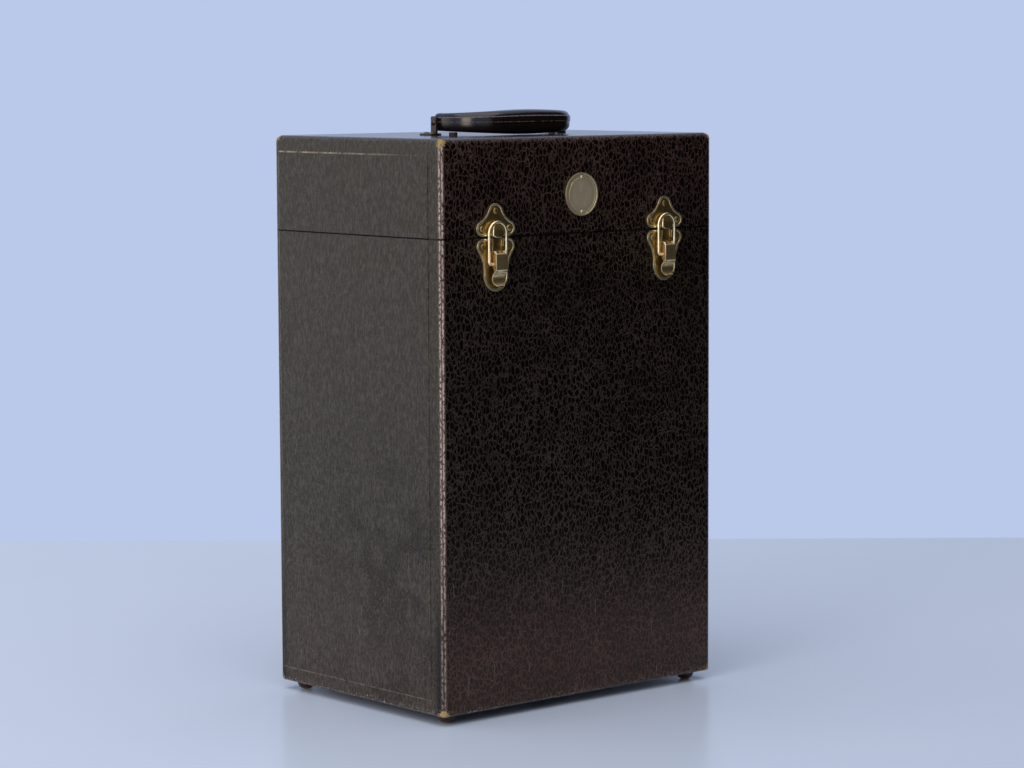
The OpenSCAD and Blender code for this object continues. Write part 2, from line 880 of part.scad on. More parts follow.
// a stamped plate with a bead along its edge, from its outline and the outline inside the bead
module beaded_plate() {
    linear_extrude(plate_t) children(0);
    linear_extrude(plate_t + bead_h) difference() {
        children(0);
        children(1);
    }
}

module catch_plate() {
    color(BRASS) difference() {
        union() {
            beaded_plate() {
                catch_outline(0);
                catch_outline(bead_w);
            }
            hood_form(0, hood_mouth);
        }
        intersection() {
            hood_form(hood_t, hood_mouth - 2);
            translate([-hood_w, -hood_top, plate_t]) cube([2 * hood_w, 3 * hood_top, hood_reach]);
        }
        at_catch_nails() translate([0, 0, plate_t]) drilled(nail_r, plate_t + 1);
    }
}

module catch_plate_left() { on_front(-latch_x) catch_plate(); }
module catch_plate_right() { on_front(latch_x) catch_plate(); }

module latch_base() {
    color(BRASS) difference() {
        union() {
            beaded_plate() {
                base_outline(0);
                base_outline(bead_w);
            }
        }
        translate([-channel_w / 2 - bracket_clear, -base_ear_y, plate_t])
            cube([channel_w + 2 * bracket_clear, base_ear_y, bead_h + 1]);
        at_base_nails() translate([0, 0, plate_t]) drilled(nail_r, plate_t + 1);
    }
}

module latch_base_left() { on_front(-latch_x) latch_base(); }
module latch_base_right() { on_front(latch_x) latch_base(); }

// side of the bracket's lower part: a floor and the lugs for the lever's pin
module bracket_side() {
    floor_v = plate_t + bracket_t;
    low = -pivot_y - lug_ear_r;
    polygon([
        [low, plate_t],
        [-rail_end + bracket_t, plate_t],
        [-rail_end + bracket_t, floor_v],
        [lug_ear_r / 2 - pivot_y, floor_v],
        [lug_ear_r - pivot_y, pivot_v],
        [low, pivot_v]
    ]);
}

// a folded strip: a wide channel above, and a narrow lower part between the lever's ears
module latch_bracket() {
    floor_v = plate_t + bracket_t;
    color(BRASS) difference() {
        union() {
            across(bracket_w) bracket_side();
            translate([0, -pivot_y, pivot_v]) bar(lug_ear_r, bracket_w);
            translate([-channel_w / 2, -rail_end, plate_t])
                cube([channel_w, rail_end + bracket_top, rail_v - plate_t]);
        }
        translate([-bracket_w / 2 + bracket_t, -2 * pivot_y, floor_v])
            cube([bracket_w - 2 * bracket_t, 2 * pivot_y - rail_end, pivot_v + lug_ear_r]);
        translate([-channel_w / 2 + bracket_t, -rail_end - eps, floor_v])
            cube([channel_w - 2 * bracket_t, 2 * rail_end, rail_v]);
        translate([0, -pivot_y, pivot_v]) bar(pivot_r, bracket_w + 2);
    }
}

module latch_bracket_left() { on_front(-latch_x) latch_bracket(); }
module latch_bracket_right() { on_front(latch_x) latch_bracket(); }

module lever_pins() {
    color(BRASS) at_latches() translate([0, -pivot_y, pivot_v])
        bar(pivot_r, lever_w + 2 * pivot_proud);
}

// side of the lever: ears round its pin and the bail's eyes, a knee, and a curled thumb tab
module lever_side() {
    polygon([
        [-knee_start, pivot_v],
        [-knee_start, knee_v - knee_chamfer],
        [-knee_start - knee_chamfer, knee_v],
        [-knee_end + knee_slope, knee_v],
        [-knee_end, knee_v - knee_slope],
        [-knee_end, bail_v + eye_ear_r],
        [-eye_y - eye_ear_r, bail_v],
        [-eye_y, bail_v - eye_ear_r],
        [-pivot_y, pivot_v - lever_ear_r]
    ]);
    translate([-pivot_y, pivot_v]) circle(lever_ear_r);
    translate([-eye_y, bail_v]) circle(eye_ear_r);
    intersection() {
        translate([-tab_y, tab_v]) difference() {
            circle(tab_curl_r);
            circle(tab_curl_r - tab_t);
        }
        translate([-tab_y - tab_curl_r, 0])
            square([tab_curl_r + tab_y - knee_end + tab_seat, tab_top]);
    }
}

module latch_lever() {
    color(BRASS) difference() {
        intersection() {
            across(2 * tab_r + 2) lever_side();
            linear_extrude(knee_v + 1) {
                translate([-lever_w / 2, -knee_end]) square([lever_w, knee_end]);
                translate([-tab_r, -tab_y]) square([2 * tab_r, tab_y - knee_end]);
                translate([0, -tab_y]) circle(tab_r);
            }
        }
        translate([-lever_w / 2 + lever_wall, -knee_end + tab_t, -1])
            cube([lever_w - 2 * lever_wall, knee_end, knee_v - knee_t + 1]);
        translate([0, -pivot_y, pivot_v]) bar(lever_pin_r, lever_w + 2);
        translate([0, -eye_y, bail_v]) bar(lever_eye_r, lever_w + 2);
    }
}

module latch_lever_left() { on_front(-latch_x) latch_lever(); }
module latch_lever_right() { on_front(latch_x) latch_lever(); }

// one bent wire: arch, two legs, and feet turned in to the lever's eyes
module latch_bail() {
    foot_end = lever_w / 2 - lever_wall + bail_short;
    color(BRASS) translate([0, 0, bail_v]) {
        translate([0, bail_arch_y]) rotate_extrude(angle = 180)
            translate([bail_x, 0]) circle(wire_r);
        both_sides() {
            translate([bail_x, bail_bend_r - eye_y, 0]) rotate([-90, 0, 0])
                cylinder(h = bail_arch_y + eye_y - bail_bend_r, r = wire_r);
            translate([bail_x - bail_bend_r, bail_bend_r - eye_y]) rotate([0, 0, -90])
                rotate_extrude(angle = 90) translate([bail_bend_r, 0]) circle(wire_r);
            translate([foot_end, -eye_y, 0]) rotate([0, 90, 0])
                cylinder(h = bail_x - bail_bend_r - foot_end, r = wire_r);
        }
    }
}

module latch_bail_left() { on_front(-latch_x) latch_bail(); }
module latch_bail_right() { on_front(latch_x) latch_bail(); }

// Badge

module badge() {
    color(SATIN) on_front(0) translate([0, badge_y]) difference() {
        cylinder(h = badge_t + badge_rim_h, r = badge_r);
        translate([0, 0, badge_t]) cylinder(h = badge_rim_h + 1, r = badge_r - badge_rim_w);
        for (y = [-1, 1]) translate([0, y * badge_pin_y, badge_t])
            drilled(badge_pin_r, badge_t + 1);
    }
}

module badge_pins() {
    color(SATIN) on_front(0) for (y = [-1, 1])
        translate([0, badge_y + y * badge_pin_y, badge_t])
            nail(badge_head_r, badge_head_h, badge_pin_r, badge_pin_l + badge_t);
}

// Hinges

// a leaf and its knuckles; first is the place of its first knuckle from the left
module hinge_leaf(side, first, pin_room) {
    color(BRASS) difference() {
        union() {
            translate([-hinge_w / 2, side > 0 ? leaf_start : -leaf_h, 0])
                cube([hinge_w, leaf_h - leaf_start, leaf_t]);
            for (i = [first : 2 : knuckles - 1])
                translate([(i + 0.5) * knuckle_pitch - hinge_w / 2, 0, 0]) {
                    translate([0, 0, hinge_v]) bar(knuckle_r, knuckle_pitch - knuckle_gap);
                    translate([
                        -(knuckle_pitch - knuckle_gap) / 2,
                        side > 0 ? 0 : -leaf_start - eps,
                        0
                    ])
                        cube([knuckle_pitch - knuckle_gap, leaf_start + eps, leaf_t]);
                }
        }
        translate([0, 0, hinge_v]) bar(hinge_pin_r + pin_room, hinge_w + 2);
        for (x = [-1, 0, 1])
            translate([x * hinge_w / 3, side * screw_line(x), -1])
                cylinder(h = leaf_t + 2, r = screw_r);
    }
}

module hinge_body_leaf_left() { on_back(-hinge_x) hinge_leaf(-1, 0, 0); }
module hinge_body_leaf_right() { on_back(hinge_x) hinge_leaf(-1, 0, 0); }
module hinge_lid_leaf_left() { on_back(-hinge_x) hinge_leaf(1, 1, run_clear); }
module hinge_lid_leaf_right() { on_back(hinge_x) hinge_leaf(1, 1, run_clear); }

module hinge_pins() {
    color(STEEL) for (s = [-1, 1]) on_back(s * hinge_x)
        translate([0, 0, hinge_v]) bar(hinge_pin_r, hinge_w);
}

// Handle

module handle_bracket() {
    color(LACQUER) on_top() difference() {
        union() {
            translate([lug_x + lug_t / 2, 0, 0]) across(lug_t) {
                translate([-lug_w / 2, 0]) square([lug_w, lug_top - lug_corner_r]);
                translate([lug_corner_r - lug_w / 2, 0]) square([lug_w - 2 * lug_corner_r, lug_top]);
                for (y = [-1, 1])
                    translate([y * (lug_w / 2 - lug_corner_r), lug_top - lug_corner_r])
                        circle(lug_corner_r);
            }
            linear_extrude(lug_foot_t) {
                translate([lug_x, -lug_foot_w / 2]) square([lug_foot_l - lug_foot_r, lug_foot_w]);
                translate([lug_x, lug_foot_r - lug_foot_w / 2])
                    square([lug_foot_l, lug_foot_w - 2 * lug_foot_r]);
                for (y = [-1, 1])
                    translate([lug_x + lug_foot_l - lug_foot_r, y * (lug_foot_w / 2 - lug_foot_r)])
                        circle(lug_foot_r);
            }
        }
        translate([lug_x, 0, handle_v]) bar(handle_pin_r + run_clear, 6 * lug_t);
        for (y = [-1, 1])
            translate([lug_rivet_x, y * lug_rivet_pitch / 2, -1])
                cylinder(h = lug_foot_t + 2, r = rivet_r);
    }
}

module handle_bracket_right() { handle_bracket(); }
module handle_bracket_left() { mirror([1, 0, 0]) handle_bracket(); }

module handle_backing_plates() {
    backing_z = -cover_t - top_t - lining_t - backing_t;
    color(STEEL) on_top() both_sides() difference() {
        translate([lug_rivet_x, 0, backing_z]) linear_extrude(backing_t)
            rounded_rect(lug_foot_w, lug_foot_w + backing_over, backing_r);
        for (y = [-1, 1])
            translate([lug_rivet_x, y * lug_rivet_pitch / 2, backing_z - 1])
                cylinder(h = backing_t + 2, r = rivet_r);
    }
}

// rivets through bracket, lid and backing plate, headed at both ends
module handle_rivets() {
    grip_l = lug_foot_t + cover_t + top_t + lining_t + backing_t;
    color(STEEL) at_lug_rivets() {
        translate([0, 0, lug_foot_t]) nail(rivet_head_r, rivet_head_h, rivet_r, grip_l);
        translate([0, 0, lug_foot_t - grip_l]) mirror([0, 0, 1])
            nail(rivet_head_r, rivet_head_h, rivet_r, 0);
    }
}

function smooth(t) = t * t * (3 - 2 * t);

// half width and half height of the handle, s along it from an arm's end
function handle_half_w(s) =
    arm_half_w + (grip_half_w - arm_half_w) * smooth(max(0, s - arm_tail) / (half_length - arm_tail));
function handle_half_h(s) =
    arm_half_h + (grip_half_h - arm_half_h) * smooth(max(0, s - arm_tail) / (half_length - arm_tail));

// the round end of an arm draws its section in
function end_round(s) = s >= arm_half_w * 0.8 ? 1
    : sqrt(1 - pow(1 - s / (arm_half_w * 0.8), 2)) * 0.55 + 0.45;

// turn of the handle's line at s, 0 along an arm and 90 along the grip
function handle_turn(s) =
    min(1, max(0, (s - arm_length) / bend_length)) * 90;

// place on the right half of the handle's line, the hinge line at y = 0
function handle_place(s) =
    s < arm_length ? [arm_x, arm_tail - s]
    : s < arm_length + bend_length
        ? [arm_x - handle_bend_r * (1 - cos(handle_turn(s))),
           -arm_front - handle_bend_r * sin(handle_turn(s))]
    : [arm_x - handle_bend_r - (s - arm_length - bend_length), -grip_y];

function handle_out(s) = [cos(handle_turn(s)), -sin(handle_turn(s))];

// half of the rounded section, side 1 above the parting line and -1 below
function half_section(side) = [
    for (i = [0 : section_steps])
        let (a = 180 * i / section_steps)
        [sign(cos(a)) * pow(abs(cos(a)), 2 / section_power),
         side * pow(sin(a), 2 / section_power)]
];

end_stations = [0, 0.15, 0.4, 0.8];
side_stations = concat(
    [for (e = end_stations) e * arm_half_w],
    [for (i = [1 : side_rings - 1])
        arm_half_w + (half_length - arm_half_w) * i / side_rings]
);

function ring(s, m, side) =
    let (
        p = handle_place(s),
        o = handle_out(s),
        w = (handle_half_w(s) - (side < 0 ? handle_step : 0)) * end_round(s),
        h = handle_half_h(s) * end_round(s)
    )
    [for (q = half_section(side)) [m * (p.x + o.x * w * q.x), p.y + o.y * w * q.x, h * q.y]];

// one half of the grip, swept along the handle's line from arm to arm
module handle_half(side) {
    count = len(side_stations);
    rings = concat(
        [for (s = side_stations) ring(s, -1, side)],
        [ring(half_length, 1, side)],
        [for (i = [1 : count]) ring(side_stations[count - i], 1, side)]
    );
    m = section_steps + 1;
    last = len(rings) - 1;
    points = [for (r = rings) for (p = r) p];
    walls = [
        for (k = [0 : last - 1]) for (i = [0 : m - 1])
            let (a = k * m + i, b = k * m + (i + 1) % m)
            each [[a, b, b + m], [a, b + m, a + m]]
    ];
    caps = [
        for (i = [1 : m - 2])
            each [[0, i + 1, i], [last * m, last * m + i, last * m + i + 1]]
    ];
    faces = concat(walls, caps);
    polyhedron(points, side > 0 ? faces : [for (f = faces) [f[0], f[2], f[1]]]);
}

// the steel bail inside the grip, with its ends turned out as pivots
module core_rod() {
    both_sides() {
        translate([0, -grip_y, 0]) rotate([0, 90, 0])
            cylinder(h = arm_x - handle_bend_r, r = core_r);
        translate([arm_x - handle_bend_r, -arm_front, 0]) rotate([0, 0, -90])
            rotate_extrude(angle = 90) translate([handle_bend_r, 0]) circle(core_r);
        translate([arm_x, -arm_front, 0]) rotate([-90, 0, 0])
            cylinder(h = arm_front - core_bend_r, r = core_r);
        translate([arm_x + core_bend_r, -core_bend_r, 0]) rotate([0, 0, 90])
            rotate_extrude(angle = 90) translate([core_bend_r, 0]) circle(core_r);
        translate([arm_x + core_bend_r, 0, 0]) rotate([0, 90, 0])
            cylinder(h = arm_half_w - core_bend_r + lug_clear / 2, r = core_r);
        translate([arm_x + core_bend_r, 0, 0]) rotate([0, 90, 0])
            cylinder(h = lug_x + lug_t + handle_head_clear - arm_x - core_bend_r + eps, r = handle_pin_r);
    }
}

module handle_core() {
    color(STEEL) on_top() translate([0, 0, handle_v]) {
        core_rod();
        both_sides() translate([lug_x + lug_t + handle_head_clear, 0, 0]) rotate([0, 90, 0])
            nail(handle_head_r, handle_head_h, handle_pin_r, handle_head_clear);
    }
}

module handle_upper_half() {
    color(MOULDED) on_top() translate([0, 0, handle_v]) difference() {
        handle_half(1);
        core_rod();
    }
}

module handle_lower_half() {
    color(MOULDED) on_top() translate([0, 0, handle_v]) difference() {
        handle_half(-1);
        core_rod();
    }
}

// rubber rests under the folded arms
module handle_rests() {
    s = arm_length + bend_length * asin((rest_y - arm_front) / handle_bend_r) / 90;
    high = handle_v - handle_half_h(s) - rest_clear;
    color(RUBBER) at_rests() {
        cylinder(h = high, r = rest_r);
        translate([0, 0, -rest_stem_l]) cylinder(h = rest_stem_l + eps, r = rest_stem_r);
    }
}

body_front_board();
body_back_board();
body_left_board();
body_right_board();
floor_board();
body_wrap();
body_left_panel();
body_right_panel();
body_lining();
floor_pad();
rim_lip_front();
rim_lip_left();
rim_lip_right();
partition();
partition_cleats();
foot_front_left();
foot_front_right();
foot_back_left();
foot_back_right();
latch_base_left();
latch_base_right();
latch_bracket_left();
latch_bracket_right();
lever_pins();
latch_base_nails();
latch_lever_left();
latch_lever_right();
latch_bail_left();
latch_bail_right();
hinge_body_leaf_left();
hinge_body_leaf_right();
hinge_pins();
hinge_body_screws();
lid_top_board();
lid_front_board();
lid_back_board();
lid_left_board();
lid_right_board();
lid_wrap();
lid_left_panel();
lid_right_panel();
lid_lining();
catch_plate_left();
catch_plate_right();
catch_nails();
badge();
badge_pins();
hinge_lid_leaf_left();
hinge_lid_leaf_right();
hinge_lid_screws();
handle_bracket_left();
handle_bracket_right();
handle_rivets();
handle_backing_plates();
handle_rests();
handle_core();
handle_upper_half();
handle_lower_half();
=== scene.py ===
import math
import bpy
from mathutils import Matrix, Vector


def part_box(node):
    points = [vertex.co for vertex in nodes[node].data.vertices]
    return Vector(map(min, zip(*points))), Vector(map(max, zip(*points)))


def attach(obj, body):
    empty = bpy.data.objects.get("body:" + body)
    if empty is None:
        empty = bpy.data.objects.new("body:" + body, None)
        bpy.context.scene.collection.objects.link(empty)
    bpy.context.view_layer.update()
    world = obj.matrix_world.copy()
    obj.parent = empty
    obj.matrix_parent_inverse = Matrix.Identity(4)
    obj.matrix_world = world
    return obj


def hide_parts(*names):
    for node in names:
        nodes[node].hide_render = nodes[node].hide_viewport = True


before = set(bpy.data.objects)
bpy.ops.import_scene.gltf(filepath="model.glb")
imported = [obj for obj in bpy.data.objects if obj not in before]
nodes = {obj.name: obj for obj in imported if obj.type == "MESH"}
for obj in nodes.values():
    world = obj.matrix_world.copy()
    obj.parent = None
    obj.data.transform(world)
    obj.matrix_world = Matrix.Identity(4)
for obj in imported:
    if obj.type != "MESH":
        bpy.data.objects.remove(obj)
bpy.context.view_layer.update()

# Boards
# Nine-millimetre birch plywood makes a closed box with rebated corners, sawn round to free the lid.
# Cover and lining hide the boards, and only the sawn rims show their plies.

MM = 0.001


def linear(code):
    """An sRGB hex colour as linear RGBA."""
    parts = [int(code[i:i + 2], 16) / 255 for i in (1, 3, 5)]
    return [p / 12.92 if p <= 0.04045 else ((p + 0.055) / 1.055) ** 2.4 for p in parts] + [1.0]


def feed(node, feeds):
    """Feeds a node's inputs with the results of other nodes, hex colours or plain values."""
    for socket, value in feeds.items():
        if isinstance(value, bpy.types.Node):
            # a mix of colours has its result in the third output, any other node in the first
            colours = value.bl_idname == "ShaderNodeMix" and value.data_type == "RGBA"
            value = value.outputs[2 if colours else 0]
        if isinstance(value, bpy.types.NodeSocket):
            node.id_data.links.new(value, node.inputs[socket])
        else:
            node.inputs[socket].default_value = linear(value) if isinstance(value, str) else value


def add(tree, kind, feeds=None, **settings):
    """Adds a shader node with its settings, and feeds it."""
    node = tree.nodes.new("ShaderNode" + kind)
    for name, value in settings.items():
        setattr(node, name, value)
    feed(node, feeds or {})
    return node


def new_finish(name):
    """A new material, its node tree and its shader."""
    finish = bpy.data.materials.new(name)
    finish.use_nodes = True
    return finish, finish.node_tree, finish.node_tree.nodes["Principled BSDF"]


def dress(finish, *names):
    """Gives CAD pieces a finish in their own slots."""
    for name in names:
        for slot in nodes[name].material_slots:
            slot.material = finish


# Birch plywood is sanded and bare: pale faces with fine straight grain, and on a sawn edge
# pale and tan plies 1.5 mm thick that cross each other. Grain lines are 1.2 mm wide and 26 mm long.
def birch_plywood(across):
    finish, tree, shader = new_finish("birch_plywood_" + across.lower())
    place = add(tree, "TexCoord").outputs["Object"]
    parts = add(tree, "SeparateXYZ", {0: place})
    turns = add(tree, "Math", {0: parts.outputs[across], 1: math.pi / (1.5 * MM)},
                operation="MULTIPLY")
    ply = add(tree, "Math", {0: turns}, operation="SINE")
    band = add(tree, "MapRange", {"Value": ply, "From Min": -0.25, "From Max": 0.25})
    along = (26, 1.2, 1.2) if across == "Z" else (1.2, 1.2, 26)
    laid = add(tree, "Mapping", {"Vector": place, "Scale": [1 / (w * MM) for w in along]})
    grain = add(tree, "TexNoise", {"Vector": laid, "Scale": 1.0, "Detail": 5.0, "Roughness": 0.6})
    pale = add(tree, "Mix", {0: grain, 6: "#a8845a", 7: "#cfae82"}, data_type="RGBA")
    brown = add(tree, "Mix", {0: grain, 6: "#6e4c2c", 7: "#94704a"}, data_type="RGBA")
    both = add(tree, "Mix", {0: band, 6: brown, 7: pale}, data_type="RGBA")
    rough = add(tree, "MapRange", {"Value": grain, "To Min": 0.72, "To Max": 0.55})
    bump = add(tree, "Bump", {"Height": grain, "Strength": 0.25, "Distance": 0.1 * MM})
    feed(shader, {"Base Color": both, "Roughness": rough, "Normal": bump})
    return finish


ply_x, ply_y, ply_z = birch_plywood("X"), birch_plywood("Y"), birch_plywood("Z")
dress(ply_y, "body_front_board", "body_back_board", "lid_front_board", "lid_back_board")
dress(ply_x, "body_left_board", "body_right_board", "lid_left_board", "lid_right_board")
dress(ply_z, "floor_board", "lid_top_board")

# Lining
# A brown paper-backed cloth pasted over the inside of body and lid before the fittings go in.
# It is thin, dull and a little blotched by the paste.

# Lining cloth gives the eye a flat warm brown with a fine cross weave and soft paste marks.
lining, tree, shader = new_finish("pasted_lining_cloth")
place = add(tree, "TexCoord").outputs["Object"]
parts = add(tree, "SeparateXYZ", {0: place})
# threads of 0.5 mm are too fine for the picture, so they are drawn 1.2 mm apart
threads = []
for axis in "XYZ":
    turns = add(tree, "Math", {0: parts.outputs[axis], 1: 2 * math.pi / (1.2 * MM)},
                operation="MULTIPLY")
    threads.append(add(tree, "Math", {0: turns}, operation="SINE"))
pair = add(tree, "Math", {0: threads[0], 1: threads[1]}, operation="ADD")
weave = add(tree, "Math", {0: pair, 1: threads[2]}, operation="ADD")
paste = add(tree, "TexNoise",
            {"Vector": place, "Scale": 1 / (38 * MM), "Detail": 5.0, "Roughness": 0.65})
tone = add(tree, "Mix", {0: paste, 6: "#57432f", 7: "#86694a"}, data_type="RGBA")
bump = add(tree, "Bump", {"Height": weave, "Strength": 0.18, "Distance": 0.08 * MM})
feed(shader, {"Base Color": tone, "Normal": bump, "Roughness": 0.85})
dress(lining, "body_lining", "lid_lining")

# Lips, partition and cleats
# Thin plywood lips are pinned inside the body's mouth and guide the lid down over them.
# A loose partition slides between four glued cleats and walls off the accessory bay.

dress(ply_y, "rim_lip_front", "partition_cleats")
dress(ply_x, "rim_lip_left", "rim_lip_right", "partition")

# Floor pad
# A pad of dark red wool felt, cut to the main bay and laid loose on the lining.
# Its cut edges are soft and its face has a few dents.


def box_piece(name, low, high):
    """A cube at the size and place of a box, its origin at the world's."""
    bpy.ops.object.select_all(action="DESELECT")
    bpy.ops.mesh.primitive_cube_add(size=1, location=(low + high) / 2)
    piece = bpy.context.object
    piece.name = piece.data.name = name
    piece.scale = high - low
    bpy.ops.object.transform_apply(location=True, rotation=True, scale=True)
    return piece


def pick(piece, faces=None, edges=None):
    """Goes into edit mode with those faces or edges selected whose middle and direction pass."""
    bpy.ops.object.mode_set(mode="EDIT")
    bpy.ops.mesh.select_mode(type="FACE" if faces else "EDGE")
    bpy.ops.mesh.select_all(action="DESELECT")
    bpy.ops.object.mode_set(mode="OBJECT")
    mesh = piece.data
    if faces:
        for face in mesh.polygons:
            face.select = bool(faces(face.center, face.normal))
    else:
        for edge in mesh.edges:
            a, b = (mesh.vertices[i].co for i in edge.vertices)
            edge.select = bool(edges((a + b) / 2, (b - a).normalized()))
    bpy.ops.object.mode_set(mode="EDIT")


def apply(piece, kind, **settings):
    """Adds a modifier with its settings and applies it."""
    bpy.context.view_layer.objects.active = piece
    change = piece.modifiers.new(kind.lower(), kind)
    for name, value in settings.items():
        setattr(change, name, value)
    bpy.ops.object.modifier_apply(modifier=change.name)


def shade(piece, angle):
    """Shades a piece smooth up to an angle, with its flats left flat."""
    bpy.ops.object.shade_smooth_by_angle(angle=math.radians(angle))
    apply(piece, "WEIGHTED_NORMAL", keep_sharp=True)


# its waves are 0.7 mm deep and about 10 cm long
DENT = 0.35
WAVE_ACROSS, WAVE_ALONG, WAVE_SLANT = 71, 53, 19

low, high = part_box("floor_pad")
pad = box_piece("felt_floor_pad", low, high)
pick(pad, edges=lambda mid, way: mid.z > high.z - 0.1 * MM)
bpy.ops.mesh.bevel(offset=1.1 * MM, segments=3, affect="EDGES")
bpy.ops.mesh.select_all(action="SELECT")
bpy.ops.mesh.subdivide(number_cuts=5)
bpy.ops.object.mode_set(mode="OBJECT")
apply(pad, "SUBSURF", subdivision_type="SIMPLE", levels=3, render_levels=3)
for vertex in pad.data.vertices:
    if vertex.co.z > high.z - 0.2 * MM:
        x, y = vertex.co.xy
        wave = math.sin(x * WAVE_ACROSS) * math.sin(y * WAVE_ALONG + x * WAVE_SLANT)
        vertex.co.z -= DENT * MM * (1 + wave)
shade(pad, 40)

# Wool felt is pressed, not woven: matt and fuzzy, with cloudy reds and stray pale fibres.
felt, tree, shader = new_finish("pressed_wool_felt")
place = add(tree, "TexCoord").outputs["Object"]
fuzz = add(tree, "TexNoise",
           {"Vector": place, "Scale": 1 / (0.7 * MM), "Detail": 3.0, "Roughness": 0.7})
cloud = add(tree, "TexNoise", {"Vector": place, "Scale": 1 / (22 * MM), "Detail": 4.0})
mixed = add(tree, "Math", {0: fuzz, 1: cloud}, operation="MULTIPLY")
tone = add(tree, "Mix", {0: mixed, 6: "#3a1312", 7: "#8c3a34"}, data_type="RGBA")
bump = add(tree, "Bump", {"Height": fuzz, "Strength": 0.5, "Distance": 0.3 * MM})
feed(shader, {"Base Color": tone, "Normal": bump, "Roughness": 0.95, "Sheen Weight": 0.35,
              "Sheen Roughness": 0.6})
pad.data.materials.append(felt)
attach(pad, "case_body")
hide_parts("floor_pad")

# Body covering
# Grained leathercloth is pasted round front, back and bottom, its margins turned over the sides.
# It rounds the box's edges, where its grain is rubbed smooth, and its corners are worn through.

# millimetres: half the width and the depth outside the cloth, its foot and top, and its radii
SIDE, FRONT = 139.6, 102.0
LOW, TOP = 7.0, 439.0
EDGE_R, TOP_R, BOTTOM_R = 4.5, 5.0, 2.5
# the cloth's thickness, the middle of the saw cut and how far the cloth has spread into it
CLOTH, CUT, SPREAD = 0.78, 365.0, 0.22
# the edges of the side panels
PANEL_FRONT, PANEL_BACK = 14.5 - FRONT, FRONT - 6
PANEL_LOW, PANEL_TOP = LOW + 11.5, TOP - 12.5

# Leathercloth is coated cloth embossed with a levant grain: black hollows inside a net of raised
# brown creases, drawn out upwards, glossy in the hollows and duller on the creases. Rubbed edges
# show rose grey, cut edges show tan cloth, and the corners are worn through to it. Painted light
# is in it too: a paler, greyer sheen on the sides, highlights on the uprights, shade along the cut
# and the table's reflection low on the front.
leathercloth, tree, shader = new_finish("grained_leathercloth")
place = add(tree, "TexCoord").outputs["Object"]
size = add(tree, "VectorMath", {0: place, 1: (1000, 1000, 1000)}, operation="MULTIPLY")
parts = add(tree, "SeparateXYZ", {0: size})
side = add(tree, "Math", {0: parts.outputs["X"]}, operation="ABSOLUTE")
deep = add(tree, "Math", {0: parts.outputs["Y"]}, operation="ABSOLUTE")
aft, tall = parts.outputs["Y"], parts.outputs["Z"]
# hollows 3.4 mm wide and longer upwards, that wander by up to 5 mm, with hair creases between them
wander = add(tree, "TexNoise", {"Vector": size, "Scale": 1 / 8, "Detail": 2.0})
bent = add(tree, "VectorMath", {0: wander.outputs["Color"], 1: (5, 5, 5), 2: size},
           operation="MULTIPLY_ADD")
drawn = add(tree, "Mapping", {"Vector": bent, "Scale": (1.0, 1.2, 0.58)})
cells = add(tree, "TexVoronoi", {"Vector": drawn, "Scale": 1 / 3.4}, feature="DISTANCE_TO_EDGE")
crease = add(tree, "MapRange", {"Value": cells, "From Min": 0.01, "From Max": 0.17,
                                "To Min": 1.0, "To Max": 0.0}, interpolation_type="SMOOTHSTEP")
hairs = add(tree, "TexVoronoi", {"Vector": drawn, "Scale": 1 / 1.9}, feature="DISTANCE_TO_EDGE")
hair = add(tree, "MapRange", {"Value": hairs, "From Min": 0.02, "From Max": 0.2,
                              "To Min": 0.1, "To Max": 0.0}, interpolation_type="SMOOTHSTEP")
ridge = add(tree, "Math", {0: crease, 1: hair}, operation="MAXIMUM")
pores = add(tree, "TexNoise", {"Vector": size, "Scale": 1 / 0.8, "Detail": 3.0, "Roughness": 0.6})
patch = add(tree, "TexNoise", {"Vector": size, "Scale": 1 / 30, "Detail": 5.0, "Roughness": 0.65})
patchy = add(tree, "MapRange", {"Value": patch, "From Min": 0.34, "From Max": 0.66,
                                "To Min": 0.6, "To Max": 1.0})
lift = add(tree, "Math", {0: ridge, 1: patchy}, operation="MULTIPLY")
fine = add(tree, "MapRange", {"Value": pores, "From Min": 0.36, "From Max": 0.62, "To Min": 0.25})
lift = add(tree, "Math", {0: lift, 1: fine}, operation="MULTIPLY")
relief = add(tree, "Math", {0: pores, 1: 0.3, 2: lift}, operation="MULTIPLY_ADD")
on_margin = add(tree, "Math", {0: side, 1: SIDE - 2}, operation="GREATER_THAN")
# the sides' cloth was pulled flatter, into upright strokes 1.5 mm wide and 5 mm long
pulled = add(tree, "Mapping", {"Vector": size, "Scale": (1 / 1.5, 1 / 1.5, 1 / 5)})
strokes = add(tree, "TexNoise", {"Vector": pulled, "Scale": 1.0, "Detail": 2.0})
stroke = add(tree, "MapRange",
             {"Value": strokes, "From Min": 0.44, "From Max": 0.64, "To Max": 0.42})
flatter = add(tree, "Math", {0: lift, 1: 0.45, 2: stroke}, operation="MULTIPLY_ADD")
shown = add(tree, "Mix", {0: on_margin, 2: lift, 3: flatter})
# the creases of the lid have kept more of their brown than those of the body
on_lid = add(tree, "MapRange", {"Value": tall, "From Min": 340, "From Max": 410})
brown = add(tree, "Mix", {0: on_lid, 6: "#463932", 7: "#5b4743"}, data_type="RGBA")
# on the side margins the crests and hollows are painted paler and greyer, as a painted sheen
crest_and_side_sheen = add(tree, "Mix", {0: on_margin, 6: brown, 7: "#565550"}, data_type="RGBA")
hollow_and_side_sheen = add(tree, "Mix", {0: on_margin, 6: "#080404", 7: "#221e18"}, data_type="RGBA")
grain = add(tree, "Mix", {0: shown, 6: hollow_and_side_sheen, 7: crest_and_side_sheen}, data_type="RGBA")
